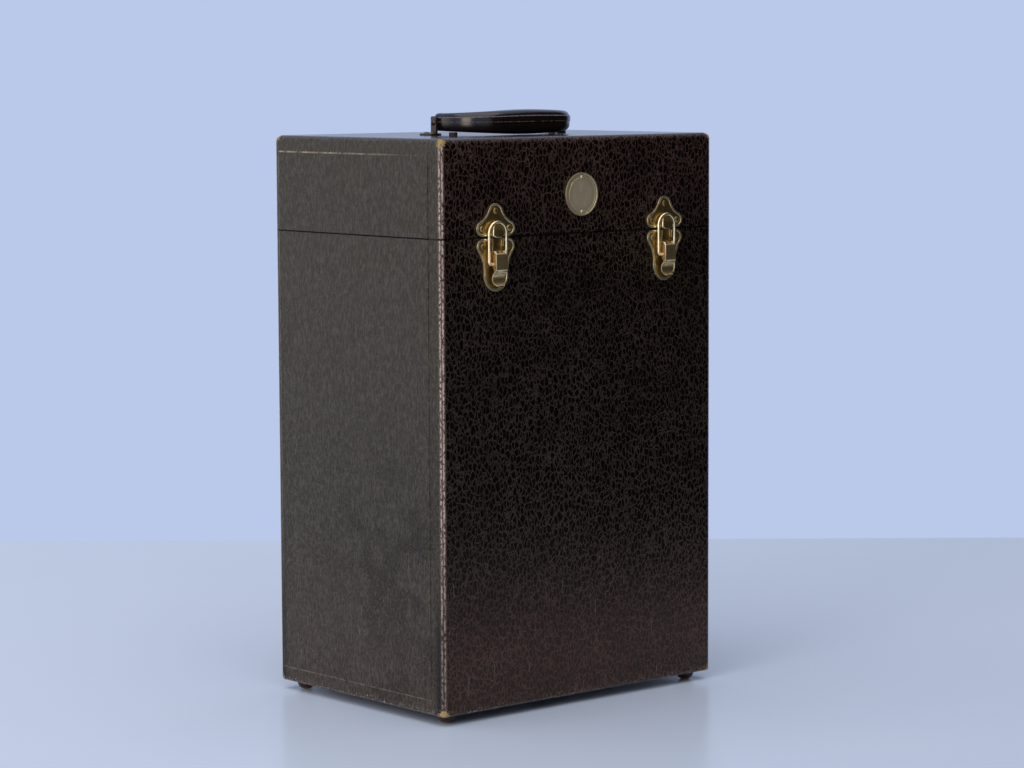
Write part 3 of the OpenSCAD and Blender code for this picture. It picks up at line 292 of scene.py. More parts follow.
# low on the case: specked dark smears on the sides, and a brown bloom of dust that the creases
# hold, which on the front is also a painted reflection of the table
low_down = add(tree, "MapRange", {"Value": tall, "From Min": 170, "From Max": 50})
smears = add(tree, "MapRange", {"Value": patch, "From Min": 0.45, "From Max": 0.6})
specks = add(tree, "TexNoise", {"Vector": size, "Scale": 1 / 2.5, "Detail": 3.0, "Roughness": 0.7})
specked = add(tree, "MapRange",
              {"Value": specks, "From Min": 0.42, "From Max": 0.58, "To Min": 0.2})
smears = add(tree, "Math", {0: smears, 1: specked}, operation="MULTIPLY")
forward = add(tree, "MapRange", {"Value": aft, "From Min": 70, "From Max": -10})
forward = add(tree, "Math", {0: forward, 1: on_margin}, operation="MULTIPLY")
smears = add(tree, "Math", {0: smears, 1: forward}, operation="MULTIPLY")
reach_up = add(tree, "MapRange", {"Value": tall, "From Min": 250, "From Max": 130})
smear = add(tree, "Math", {0: reach_up, 1: smears}, operation="MULTIPLY")
smear = add(tree, "Math", {0: smear, 1: 1.2}, operation="MULTIPLY", use_clamp=True)
smeared = add(tree, "Mix", {0: smear, 6: grain, 7: "#140e07"}, data_type="RGBA")
# the dust and painted reflection thicken with the square of how low they lie, and most on front and
# back
on_front = add(tree, "Math", {0: deep, 1: FRONT - 3}, operation="GREATER_THAN")
dust = add(tree, "MapRange", {"Value": on_front, "To Min": 0.2, "To Max": 0.5})
dust = add(tree, "Math", {0: low_down, 1: dust}, operation="MULTIPLY")
dust = add(tree, "Math", {0: low_down, 1: dust}, operation="MULTIPLY")
held = add(tree, "Math", {0: shown, 1: 2.0, 2: 0.5}, operation="MULTIPLY_ADD")
dust = add(tree, "Math", {0: dust, 1: held}, operation="MULTIPLY")
# brown dust, partly a painted reflection of the table
dust_and_table_sheen = add(tree, "Mix", {0: dust, 6: smeared, 7: "#55403a"}, data_type="RGBA")
# darker low on the margins, beside the uprights
beside_edge = add(tree, "MapRange", {"Value": deep, "From Min": FRONT - 11, "From Max": FRONT - 6})
dark_band = add(tree, "Math", {0: beside_edge, 1: on_margin}, operation="MULTIPLY")
dark_band_low = add(tree, "MapRange", {"Value": tall, "From Min": 120, "From Max": 70})
dark_band = add(tree, "Math", {0: dark_band, 1: dark_band_low}, operation="MULTIPLY")
darkened = add(tree, "Mix", {0: dark_band, 6: dust_and_table_sheen, 7: "#0a0c09"}, data_type="RGBA")
# rubbed round the edges of the box, and on the uprights a painted highlight: two pale broken lines
# over the rub
rubs = []
for share, begin, full, level, way in ((0.15, TOP_R * 0.9, TOP_R * 0.4, TOP, -1),
                                       (0.5, BOTTOM_R, BOTTOM_R * 0.4, LOW, 1)):
    for across, face in ((side, SIDE), (deep, FRONT)):
        one = add(tree, "MapRange", {"Value": across, "From Min": face - begin,
                                     "From Max": face - full, "To Max": share},
                  interpolation_type="SMOOTHSTEP")
        two = add(tree, "MapRange", {"Value": tall, "From Min": level + way * begin,
                                     "From Max": level + way * full},
                  interpolation_type="SMOOTHSTEP")
        rubs.append(add(tree, "Math", {0: one, 1: two}, operation="MULTIPLY"))
round_side = add(tree, "MapRange", {"Value": side, "From Min": SIDE - EDGE_R, "From Max": SIDE})
round_deep = add(tree, "MapRange", {"Value": deep, "From Min": FRONT - EDGE_R, "From Max": FRONT})
upright_rub_and_highlight = add(tree, "Math", {0: round_side, 1: round_deep}, operation="MULTIPLY")
upright_rub_and_highlight = add(tree, "MapRange",
              {"Value": upright_rub_and_highlight, "From Min": 0.05, "From Max": 0.25, "To Max": 0.6})
higher = add(tree, "MapRange",
             {"Value": tall, "From Min": 70, "From Max": 170, "To Min": 0.45, "To Max": 1.0})
upright_rub_and_highlight = add(tree, "Math", {0: upright_rub_and_highlight, 1: higher}, operation="MULTIPLY")
rubs.append(upright_rub_and_highlight)
rub = rubs[0]
for other in rubs[1:]:
    rub = add(tree, "Math", {0: rub, 1: other}, operation="MAXIMUM")
streaks = add(tree, "Mapping", {"Vector": size, "Scale": (1 / 1.5, 1 / 1.5, 1 / 2.4)})
spots = add(tree, "TexNoise", {"Vector": streaks, "Scale": 1.0, "Detail": 3.0, "Roughness": 0.7})
spotty = add(tree, "MapRange", {"Value": spots, "From Min": 0.28, "From Max": 0.56},
             interpolation_type="SMOOTHSTEP")
rubbed = add(tree, "Math", {0: rub, 1: spotty}, operation="MULTIPLY")
# the rose grey is rub, and on the uprights it is partly a painted highlight
worn_and_highlit = add(tree, "Mix", {0: rubbed, 6: darkened, 7: "#766360"}, data_type="RGBA")
turn = add(tree, "Math", {0: round_side, 1: round_deep}, operation="SUBTRACT")
off_line = add(tree, "Math", {0: turn}, operation="ABSOLUTE")
off_line = add(tree, "Math", {0: off_line, 1: 0.34}, operation="SUBTRACT")
off_line = add(tree, "Math", {0: off_line}, operation="ABSOLUTE")
highlight_line = add(tree, "MapRange", {"Value": off_line, "From Min": 0.26, "From Max": 0.1})
highlight_line = add(tree, "Math", {0: highlight_line, 1: upright_rub_and_highlight}, operation="MULTIPLY")
# pale flecks on two lines along the uprights are a painted highlight
highlight_flecks = add(tree, "MapRange", {"Value": spots, "From Min": 0.44, "From Max": 0.56, "To Max": 1.7})
fleck = add(tree, "Math", {0: highlight_line, 1: highlight_flecks}, operation="MULTIPLY", use_clamp=True)
worn_and_highlit = add(tree, "Mix", {0: fleck, 6: worn_and_highlit, 7: "#c9b9b8"}, data_type="RGBA")
# cut edges of the cloth round the side panels: palest under the lid's top and towards the back
lines = []
for share, across, at, along, first, last in ((0.1, aft, PANEL_FRONT, tall, PANEL_LOW, PANEL_TOP),
                                              (0.5, aft, PANEL_BACK, tall, PANEL_LOW, PANEL_TOP),
                                              (0.7, tall, PANEL_LOW, aft, PANEL_FRONT, PANEL_BACK),
                                              (1.0, tall, PANEL_TOP, aft, PANEL_FRONT, PANEL_BACK)):
    off = add(tree, "Math", {0: across, 1: at}, operation="SUBTRACT")
    near = add(tree, "Math", {0: off}, operation="ABSOLUTE")
    line = add(tree, "MapRange",
               {"Value": near, "From Min": 0.75, "From Max": 0.2, "To Max": share})
    more = add(tree, "Math", {0: along, 1: first - 0.5}, operation="GREATER_THAN")
    less = add(tree, "Math", {0: along, 1: last + 0.5}, operation="LESS_THAN")
    span = add(tree, "Math", {0: more, 1: less}, operation="MULTIPLY")
    lines.append(add(tree, "Math", {0: line, 1: span}, operation="MULTIPLY"))
cut = lines[0]
for other in lines[1:]:
    cut = add(tree, "Math", {0: cut, 1: other}, operation="MAXIMUM")
on_side = add(tree, "Math", {0: side, 1: SIDE - 0.7}, operation="GREATER_THAN")
cut = add(tree, "Math", {0: cut, 1: on_side}, operation="MULTIPLY")
backward = add(tree, "MapRange", {"Value": aft, "From Min": -60, "From Max": 40,
                                  "To Min": 0.12, "To Max": 1.0})
upper = add(tree, "Math", {0: tall, 1: 120}, operation="GREATER_THAN")
fade = add(tree, "Mix", {0: upper, 2: 0.5, 3: backward})
cut = add(tree, "Math", {0: cut, 1: fade}, operation="MULTIPLY")
gaps = add(tree, "TexNoise", {"Vector": size, "Scale": 1 / 9, "Detail": 5.0, "Roughness": 0.75})
broken = add(tree, "MapRange", {"Value": gaps, "From Min": 0.38, "From Max": 0.56})
frayed = add(tree, "Math", {0: cut, 1: broken}, operation="MULTIPLY")
edged = add(tree, "Mix", {0: frayed, 6: worn_and_highlit, 7: "#b3aa97"}, data_type="RGBA")
# painted shade of the saw cut, with grime along it
over_cut = add(tree, "Math", {0: tall, 1: CUT}, operation="SUBTRACT")
off_cut = add(tree, "Math", {0: over_cut}, operation="ABSOLUTE")
cut_grime_and_shade = add(tree, "MapRange", {"Value": off_cut, "From Min": 0.85, "From Max": 0.5})
edged = add(tree, "Mix", {0: cut_grime_and_shade, 6: edged, 7: "#040303"}, data_type="RGBA")
# scuffs along the bottom edges, and hair scratches 1.1 mm wide and 26 mm long above them
foot_of_case = add(tree, "MapRange", {"Value": tall, "From Min": LOW + 6, "From Max": LOW + 2})
chafed = add(tree, "MapRange", {"Value": spots, "From Min": 0.585, "From Max": 0.625})
scuff = add(tree, "Math", {0: foot_of_case, 1: chafed}, operation="MULTIPLY")
upward = add(tree, "Mapping", {"Vector": size, "Scale": (1 / 1.1, 1 / 1.1, 1 / 26)})
hairline = add(tree, "TexNoise", {"Vector": upward, "Scale": 1.0, "Detail": 3.0})
thin = add(tree, "MapRange", {"Value": hairline, "From Min": 0.7, "From Max": 0.74, "To Max": 0.5})
scratch = add(tree, "Math", {0: thin, 1: low_down}, operation="MULTIPLY")
marked = add(tree, "Math", {0: scuff, 1: scratch}, operation="MAXIMUM")
scuffed = add(tree, "Mix", {0: marked, 6: edged, 7: "#a59d94"}, data_type="RGBA")
# worn through at the eight corners
middle = add(tree, "Math", {0: tall, 1: (LOW + TOP) / 2}, operation="SUBTRACT")
half = add(tree, "Math", {0: middle}, operation="ABSOLUTE")
corner = add(tree, "CombineXYZ", {0: side, 1: deep, 2: half})
away = add(tree, "VectorMath", {0: corner, 1: (SIDE, FRONT, (TOP - LOW) / 2)}, operation="DISTANCE")
ragged = add(tree, "Math", {0: spots, 1: -9.0, 2: away.outputs["Value"]}, operation="MULTIPLY_ADD")
ragged = add(tree, "Math", {0: pores, 1: -8.0, 2: ragged}, operation="MULTIPLY_ADD")
tip = add(tree, "MapRange", {"Value": ragged, "From Min": -2.2, "From Max": -3.4})
bared = add(tree, "Mix", {0: tip, 6: scuffed, 7: "#a8946a"}, data_type="RGBA")
shine = add(tree, "MapRange", {"Value": lift, "To Min": 0.2, "To Max": 0.34})
on_top = add(tree, "MapRange", {"Value": tall, "From Min": TOP - 1.5, "From Max": TOP - 0.1})
smooth = add(tree, "Mix", {0: on_top, 2: shine, 3: 0.18})
rubbed_shine = add(tree, "Mix", {0: rubbed, 2: smooth, 3: 0.24})
bared_shine = add(tree, "Mix", {0: tip, 2: rubbed_shine, 3: 0.8})
depth = add(tree, "MapRange", {"Value": on_top, "To Min": 0.7, "To Max": 0.12})
bump = add(tree, "Bump", {"Height": relief, "Strength": depth, "Distance": 0.35 * MM})
feed(shader, {"Base Color": bared, "Roughness": bared_shine, "Normal": bump,
              "Specular IOR Level": 0.25, "Specular Tint": "#fff8e4"})

# Cut cloth shows its woven tan backing along a pasted-down edge: matt threads, brown to tan.
backing, tree, shader = new_finish("tan_cloth_backing")
place = add(tree, "TexCoord").outputs["Object"]
threads = add(tree, "TexNoise",
              {"Vector": place, "Scale": 1 / (1.1 * MM), "Detail": 4.0, "Roughness": 0.7})
tone = add(tree, "Mix", {0: threads, 6: "#2a211c", 7: "#85745a"}, data_type="RGBA")
bump = add(tree, "Bump", {"Height": threads, "Strength": 0.5, "Distance": 0.2 * MM})
feed(shader, {"Base Color": tone, "Normal": bump, "Roughness": 0.9})


def round_edges(piece, width, share):
    """Rounds the edges of a box, each by its share of the width, and applies it."""
    marks = piece.data.attributes.new("bevel_weight_edge", "FLOAT", "EDGE")
    for edge in piece.data.edges:
        a, b = (piece.data.vertices[i].co for i in edge.vertices)
        marks.data[edge.index].value = share((a + b) / 2, (b - a).normalized())
    apply(piece, "BEVEL", limit_method="WEIGHT", width=width, segments=5, use_clamp_overlap=False)


def cut_away(piece, faces):
    """Deletes the faces whose middle and direction pass."""
    pick(piece, faces=faces)
    bpy.ops.mesh.delete(type="FACE")
    bpy.ops.object.mode_set(mode="OBJECT")


def cut_windows(piece, front, back, low, high):
    """Cuts the places of the side panels out of the turned margins."""
    for at, way in (((0, front, 0), (0, 1, 0)), ((0, back, 0), (0, 1, 0)),
                    ((0, 0, low), (0, 0, 1)), ((0, 0, high), (0, 0, 1))):
        bpy.ops.object.mode_set(mode="EDIT")
        bpy.ops.mesh.select_all(action="SELECT")
        bpy.ops.mesh.bisect(plane_co=at, plane_no=way)
        bpy.ops.object.mode_set(mode="OBJECT")
    cut_away(piece, lambda mid, way: (abs(way.x) > 0.99 and front < mid.y < back
                                      and low < mid.z < high))


def thicken(piece):
    """Gives turned cloth its thickness, with its backing on the cut rims."""
    piece.data.materials.append(leathercloth)
    piece.data.materials.append(backing)
    apply(piece, "SOLIDIFY", thickness=CLOTH * MM, offset=-1, use_even_offset=True,
          material_offset_rim=1)
    shade(piece, 35)


low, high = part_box("body_wrap")
# the sawn edges of the cloth have spread into the cut
high.z += SPREAD * MM
covering = box_piece("body_covering", low, high)
cut_away(covering, lambda mid, way: way.z > 0.9)
round_edges(covering, EDGE_R * MM, lambda mid, way: (
    1.0 if abs(way.z) > 0.9 else BOTTOM_R / EDGE_R if mid.z < low.z + MM else 0))
cut_windows(covering, PANEL_FRONT * MM, PANEL_BACK * MM, PANEL_LOW * MM, high.z + MM)
thicken(covering)
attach(covering, "case_body")
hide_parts("body_wrap")

# Lid covering
# The lid is covered with the same cloth, in one run with the body before the box is sawn apart.
# Its top edges are rounder than the uprights, and its margins turn down over the sides.

low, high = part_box("lid_wrap")
low.z -= SPREAD * MM
lid_covering = box_piece("lid_covering", low, high)
cut_away(lid_covering, lambda mid, way: way.z < -0.9)
round_edges(lid_covering, TOP_R * MM, lambda mid, way: (
    EDGE_R / TOP_R if abs(way.z) > 0.9 else 1.0 if mid.z > high.z - MM else 0))
cut_windows(lid_covering, PANEL_FRONT * MM, PANEL_BACK * MM, low.z - MM, PANEL_TOP * MM)
thicken(lid_covering)
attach(lid_covering, "lid")
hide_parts("lid_wrap")

# Side panels
# A rectangle of the same cloth is pasted on each side of body and lid, over the turned margins.
# Its cut edges stand a little proud and have gone soft and pale.

# millimetres: how far the pressed edges have spread, and how round the cut edges are
PRESSED, SOFT_EDGE = 0.2, 0.36


def side_panel(node, name, body):
    """A panel whose pressed edges reach the margins and spread into the saw cut."""
    low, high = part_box(node)
    low += Vector((0, -PRESSED * MM, -SPREAD * MM))
    high += Vector((0, PRESSED * MM, SPREAD * MM))
    panel = box_piece(name, low, high)
    outer = max(abs(low.x), abs(high.x))
    pick(panel, edges=lambda mid, way: abs(mid.x) > outer - 0.1 * MM)
    bpy.ops.mesh.bevel(offset=SOFT_EDGE * MM, segments=2, affect="EDGES")
    bpy.ops.object.mode_set(mode="OBJECT")
    panel.data.materials.append(leathercloth)
    shade(panel, 35)
    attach(panel, body)
    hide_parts(node)


side_panel("body_left_panel", "body_left_cloth", "case_body")
side_panel("body_right_panel", "body_right_cloth", "case_body")
side_panel("lid_left_panel", "lid_left_cloth", "lid")
side_panel("lid_right_panel", "lid_right_cloth", "lid")

# Feet
# Four domed steel glides in brown lacquer, each on a nail driven up into the floor board.
# They are glossy with rubbed soles.

# Brown lacquer is baked on thick: glossy and warm, rubbed down to grey steel on the sole.
foot_brown, tree, shader = new_finish("brown_lacquered_steel")
place = add(tree, "TexCoord").outputs["Object"]
parts = add(tree, "SeparateXYZ", {0: place})
mottle = add(tree, "TexNoise",
             {"Vector": place, "Scale": 1 / (4 * MM), "Detail": 4.0, "Roughness": 0.6})
tone = add(tree, "Mix", {0: mottle, 6: "#2b1a14", 7: "#573828"}, data_type="RGBA")
sole = add(tree, "MapRange",
           {"Value": parts.outputs["Z"], "From Min": 1.6 * MM, "From Max": 0.2 * MM})
rubbed = add(tree, "Mix", {0: sole, 6: tone, 7: "#8a6f58"}, data_type="RGBA")
shine = add(tree, "MapRange", {"Value": mottle, "To Min": 0.2, "To Max": 0.4})
bump = add(tree, "Bump", {"Height": mottle, "Strength": 0.12, "Distance": 0.3 * MM})
feed(shader, {"Base Color": rubbed, "Roughness": shine, "Normal": bump})
dress(foot_brown, "foot_front_left", "foot_front_right", "foot_back_left", "foot_back_right")

# Latch plates
# Two stamped brass plates a side, with a raised bead round their edge, are nailed above and below
# the saw cut. The upper one carries the drawn hood, and the lower one the bracket for the lever.


def softened(node, body, width, *finishes, polished=None):
    """A copy of a CAD piece with its edges rounded; the last finish goes on what is rubbed."""
    bpy.ops.object.select_all(action="DESELECT")
    piece = bpy.data.objects.new(node + "_stamped", nodes[node].data.copy())
    bpy.context.scene.collection.objects.link(piece)
    bpy.context.view_layer.objects.active = piece
    piece.select_set(True)
    bpy.ops.mesh.customdata_custom_splitnormals_clear()
    bpy.ops.object.mode_set(mode="EDIT")
    bpy.ops.mesh.select_all(action="SELECT")
    bpy.ops.mesh.remove_doubles(threshold=0.004 * MM)
    bpy.ops.mesh.dissolve_limited(angle_limit=math.radians(0.6))
    bpy.ops.object.mode_set(mode="OBJECT")
    piece.data.materials.clear()
    for finish in finishes:
        piece.data.materials.append(finish)
    apply(piece, "BEVEL", limit_method="ANGLE", angle_limit=math.radians(38), width=width,
          segments=2, use_clamp_overlap=False, material=len(finishes) - 1)
    for face in piece.data.polygons:
        if polished and polished(face.center, face.normal):
            face.material_index = 1
    shade(piece, 40)
    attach(piece, body)
    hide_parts(node)
    return piece


# Aged brass is polished by hands and cloth on its rims, paler where fingers work the levers, and
# olive brown on its flat faces, with cloudy tarnish and flecks. Its near white rubbed finish on
# rims, beads, bails and rounded edges is partly a painted highlight.
def aged_brass(name, bright, dark, fine, coarse):
    finish, tree, shader = new_finish(name)
    place = add(tree, "TexCoord").outputs["Object"]
    cloud = add(tree, "TexNoise",
                {"Vector": place, "Scale": 1 / (5 * MM), "Detail": 5.0, "Roughness": 0.65})
    fleck = add(tree, "TexNoise", {"Vector": place, "Scale": 1 / (0.8 * MM), "Detail": 2.0})
    both = add(tree, "Math", {0: fleck, 1: 0.4, 2: cloud}, operation="MULTIPLY_ADD")
    dulled = add(tree, "MapRange", {"Value": both, "From Min": 0.5, "From Max": 0.9})
    tone = add(tree, "Mix", {0: dulled, 6: bright, 7: dark}, data_type="RGBA")
    shine = add(tree, "MapRange", {"Value": dulled, "To Min": fine, "To Max": coarse})
    bump = add(tree, "Bump", {"Height": cloud, "Strength": 0.1, "Distance": 0.3 * MM})
    feed(shader, {"Base Color": tone, "Roughness": shine, "Normal": bump, "Metallic": 1.0})
    return finish


tarnished = aged_brass("tarnished_brass", "#c2a56a", "#785e32", 0.32, 0.5)
rubbed_and_highlit_brass = aged_brass("rubbed_and_highlit_brass", "#fff3d2", "#f6e0aa", 0.3, 0.42)
handled = aged_brass("handled_brass", "#e6cd98", "#b08f58", 0.34, 0.5)

# the bead stands 0.6 mm proud of the plate and is rubbed all over, painted near white as its
# highlight; the flat plate keeps the darker tarnish, partly as painted shade
BEAD_FRONT, BEAD_BACK = -103.9, -103.3
for hand in ("left", "right"):
    for node, body in (("catch_plate_" + hand, "lid"), ("latch_base_" + hand, "case_body")):
        plate = softened(node, body, 0.55 * MM, tarnished, rubbed_and_highlit_brass,
                         polished=lambda mid, way: BEAD_FRONT * MM < mid.y < BEAD_BACK * MM)
dress(tarnished, "catch_nails", "latch_base_nails")

# Latch brackets, levers and bails
# A folded brass bracket carries the lever on a pin, and the bent wire bail turns in the eyes of the
# lever. Pressing the thumb tab down draws the bail tight over the hood.

for hand in ("left", "right"):
    lever = "latch_lever_" + hand
    for node, body, width, face in (("latch_bracket_" + hand, "case_body", 0.25 * MM, tarnished),
                                    (lever, lever, 0.4 * MM, handled)):
        part = softened(node, body, width, face, rubbed_and_highlit_brass)
# the bails wear the near white rubbed brass, partly a painted highlight
dress(rubbed_and_highlit_brass, "latch_bail_left", "latch_bail_right")
dress(tarnished, "lever_pins")

# Badge
# A round plate of satin alloy with a raised rim, fixed to the lid's front by two small pins.
# Its face is bare.

# Satin alloy was turned on a lathe: very fine rings round its middle, a soft warm gleam, and dull
# stains that creep in from the rim.
satin, tree, shader = new_finish("turned_satin_alloy")
low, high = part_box("badge")
place = add(tree, "TexCoord").outputs["Object"]
centred = add(tree, "VectorMath", {0: place, 1: (low + high) / 2}, operation="SUBTRACT")
flat = add(tree, "VectorMath", {0: centred, 1: (1, 0, 1)}, operation="MULTIPLY")
radius = add(tree, "VectorMath", {0: flat}, operation="LENGTH")
# turning marks of 0.1 mm are drawn 0.5 mm apart so that they show
turns = add(tree, "Math", {0: radius.outputs["Value"], 1: 2 * math.pi / (0.5 * MM)},
            operation="MULTIPLY")
rings = add(tree, "Math", {0: turns}, operation="SINE")
cloud = add(tree, "TexNoise",
            {"Vector": place, "Scale": 1 / (6 * MM), "Detail": 5.0, "Roughness": 0.7})
rim = add(tree, "MapRange",
          {"Value": radius.outputs["Value"], "From Min": 9 * MM, "From Max": 16 * MM})
dull = add(tree, "Math", {0: rim, 1: cloud}, operation="MULTIPLY")
tone = add(tree, "Mix", {0: dull, 6: "#f2e2bc", 7: "#b09c6c"}, data_type="RGBA")
shine = add(tree, "MapRange", {"Value": cloud, "To Min": 0.48, "To Max": 0.64})
bump = add(tree, "Bump", {"Height": rings, "Strength": 0.15, "Distance": 0.05 * MM})
feed(shader, {"Base Color": tone, "Roughness": shine, "Normal": bump, "Metallic": 1.0})
# a blank turned to size, its face sunk inside a rim and cut with one groove
bpy.ops.object.select_all(action="DESELECT")
reach = (high.x - low.x) / 2
bpy.ops.mesh.primitive_cylinder_add(vertices=96, radius=reach, depth=high.y - low.y,
                                    location=(low + high) / 2,
                                    rotation=(math.pi / 2, 0, 0))
plate = bpy.context.object
plate.name = plate.data.name = "badge_blank"
bpy.ops.object.transform_apply(location=True, rotation=True, scale=True)
pick(plate, faces=lambda mid, way: way.y < -0.9)
for width, rise in ((1.2, 0), (0.15, -0.3), (1.6, 0), (0.1, -0.1), (0.4, 0), (0.1, 0.1)):
    bpy.ops.mesh.inset(thickness=width * MM, depth=rise * MM)
bpy.ops.object.mode_set(mode="OBJECT")
apply(plate, "BEVEL", limit_method="ANGLE", angle_limit=math.radians(50), width=0.16 * MM,
      segments=2)
shade(plate, 35)
plate.data.materials.append(satin)
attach(plate, "lid")
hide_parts("badge")
dress(satin, "badge_pins")

# Hinges
# Two butt hinges of folded brass on the back, each leaf held by three slotted screws.
# A steel pin runs through their five knuckles.

for hand in ("left", "right"):
    for node, body in (("hinge_lid_leaf_" + hand, "lid"), ("hinge_body_leaf_" + hand, "case_body")):
        leaf = softened(node, body, 0.2 * MM, tarnished, rubbed_and_highlit_brass)
dress(tarnished, "hinge_lid_screws", "hinge_body_screws")

# Nickelled steel is plated and drawn: a dull grey gleam with fine lengthwise marks and dark spots.
nickel, tree, shader = new_finish("dull_nickelled_steel")
place = add(tree, "TexCoord").outputs["Object"]
drawn = add(tree, "Mapping",
            {"Vector": place, "Scale": (1 / (9 * MM), 1 / (0.6 * MM), 1 / (0.6 * MM))})
marks = add(tree, "TexNoise", {"Vector": drawn, "Scale": 1.0, "Detail": 4.0})
spots = add(tree, "TexNoise",
            {"Vector": place, "Scale": 1 / (2.5 * MM), "Detail": 4.0, "Roughness": 0.7})
rust = add(tree, "MapRange", {"Value": spots, "From Min": 0.55, "From Max": 0.75})
tone = add(tree, "Mix", {0: rust, 6: "#9a958d", 7: "#4a4037"}, data_type="RGBA")
shine = add(tree, "MapRange", {"Value": marks, "To Min": 0.26, "To Max": 0.46})
bump = add(tree, "Bump", {"Height": marks, "Strength": 0.1, "Distance": 0.1 * MM})
feed(shader, {"Base Color": tone, "Roughness": shine, "Normal": bump, "Metallic": 1.0})
dress(nickel, "hinge_pins", "handle_backing_plates")

# Handle brackets and rests
# Angle brackets of dark lacquered steel, riveted through the lid to backing plates inside.
# Two rubber buttons on the lid's top catch the folded handle.

# Dark lacquer is baked on: smooth, brown black and glossy, chipped to steel along the edges.
lacquer, tree, shader = new_finish("dark_lacquered_steel")
place = add(tree, "TexCoord").outputs["Object"]
orange = add(tree, "TexNoise", {"Vector": place, "Scale": 1 / (1.6 * MM), "Detail": 3.0})
chips = add(tree, "TexNoise",
            {"Vector": place, "Scale": 1 / (2.2 * MM), "Detail": 5.0, "Roughness": 0.7})
chipped = add(tree, "MapRange", {"Value": chips, "From Min": 0.66, "From Max": 0.7})
tone = add(tree, "Mix", {0: chipped, 6: "#2a201d", 7: "#75695e"}, data_type="RGBA")
shine = add(tree, "MapRange", {"Value": orange, "To Min": 0.22, "To Max": 0.4})
bump = add(tree, "Bump", {"Height": orange, "Strength": 0.08, "Distance": 0.2 * MM})
feed(shader, {"Base Color": tone, "Roughness": shine, "Normal": bump})
for hand in ("left", "right"):
    bracket = softened("handle_bracket_" + hand, "lid", 0.3 * MM, lacquer)
dress(lacquer, "handle_core", "handle_rivets")

# Moulded rubber is matt black and dusty, with a faint grain.
rubber, tree, shader = new_finish("black_moulded_rubber")
place = add(tree, "TexCoord").outputs["Object"]
dust = add(tree, "TexNoise",
           {"Vector": place, "Scale": 1 / (1.8 * MM), "Detail": 5.0, "Roughness": 0.7})
tone = add(tree, "Mix", {0: dust, 6: "#121212", 7: "#2c2a29"}, data_type="RGBA")
rough = add(tree, "MapRange", {"Value": dust, "To Min": 0.55, "To Max": 0.85})
bump = add(tree, "Bump", {"Height": dust, "Strength": 0.2, "Distance": 0.1 * MM})
feed(shader, {"Base Color": tone, "Roughness": rough, "Normal": bump})
dress(rubber, "handle_rests")

# Handle
# Two moulded halves close round a bent steel core and swell from the arms to the grip.
# The upper half overhangs the lower one and has a raised crown, and both edges are scuffed pale.

# millimetres: the handle's line with its bends, and half the widths and heights of arm and grip
ARM_X, GRIP_Y, BEND, TAIL, HINGE_Z = 54.0, 36.0, 27.0, 5.0, 449.0
ARM_W, ARM_H, GRIP_W, GRIP_H = 5.2, 7.0, 11.0, 9.6
# lengths along the line: the straight arm, its bend, and all to the middle of the grip
ARM = TAIL + GRIP_Y - BEND
TURN = BEND * math.pi / 2
HALF = ARM + TURN + ARM_X - BEND
# the rounded ends, the share of the section left at their tips, and how square the section is
END, TIP, SQUARE = 4.2, 0.45, 0.71
# steps along each half of the line
STEPS = 44


def swell(s, arm, grip):
    """A size of the handle at s along its line, from the arm's end to the middle of the grip."""
    u = max(0, min(s, 2 * HALF - s) - TAIL) / (HALF - TAIL)
    return arm + (grip - arm) * u * u * (3 - 2 * u)


def handle_place(s):
    """Where the handle's line runs at s from the left arm's end."""
    t = min(s, 2 * HALF - s)
    a = min(1, max(0, (t - ARM) / TURN)) * math.pi / 2
    x, y = ARM_X - BEND * (1 - math.cos(a)), BEND - GRIP_Y - BEND * math.sin(a)
    if t < ARM:
        y = TAIL - t
    x -= max(0, t - ARM - TURN)
    return (-x if s < HALF else x), y


def handle_length(x, y):
    """How far along the handle's line a point beside it lies."""
    x = abs(x)
    if x < ARM_X - BEND:
        return HALF - x
    if y > BEND - GRIP_Y:
        return TAIL - y
    return ARM + BEND * math.atan2(BEND - GRIP_Y - y, x - ARM_X + BEND)


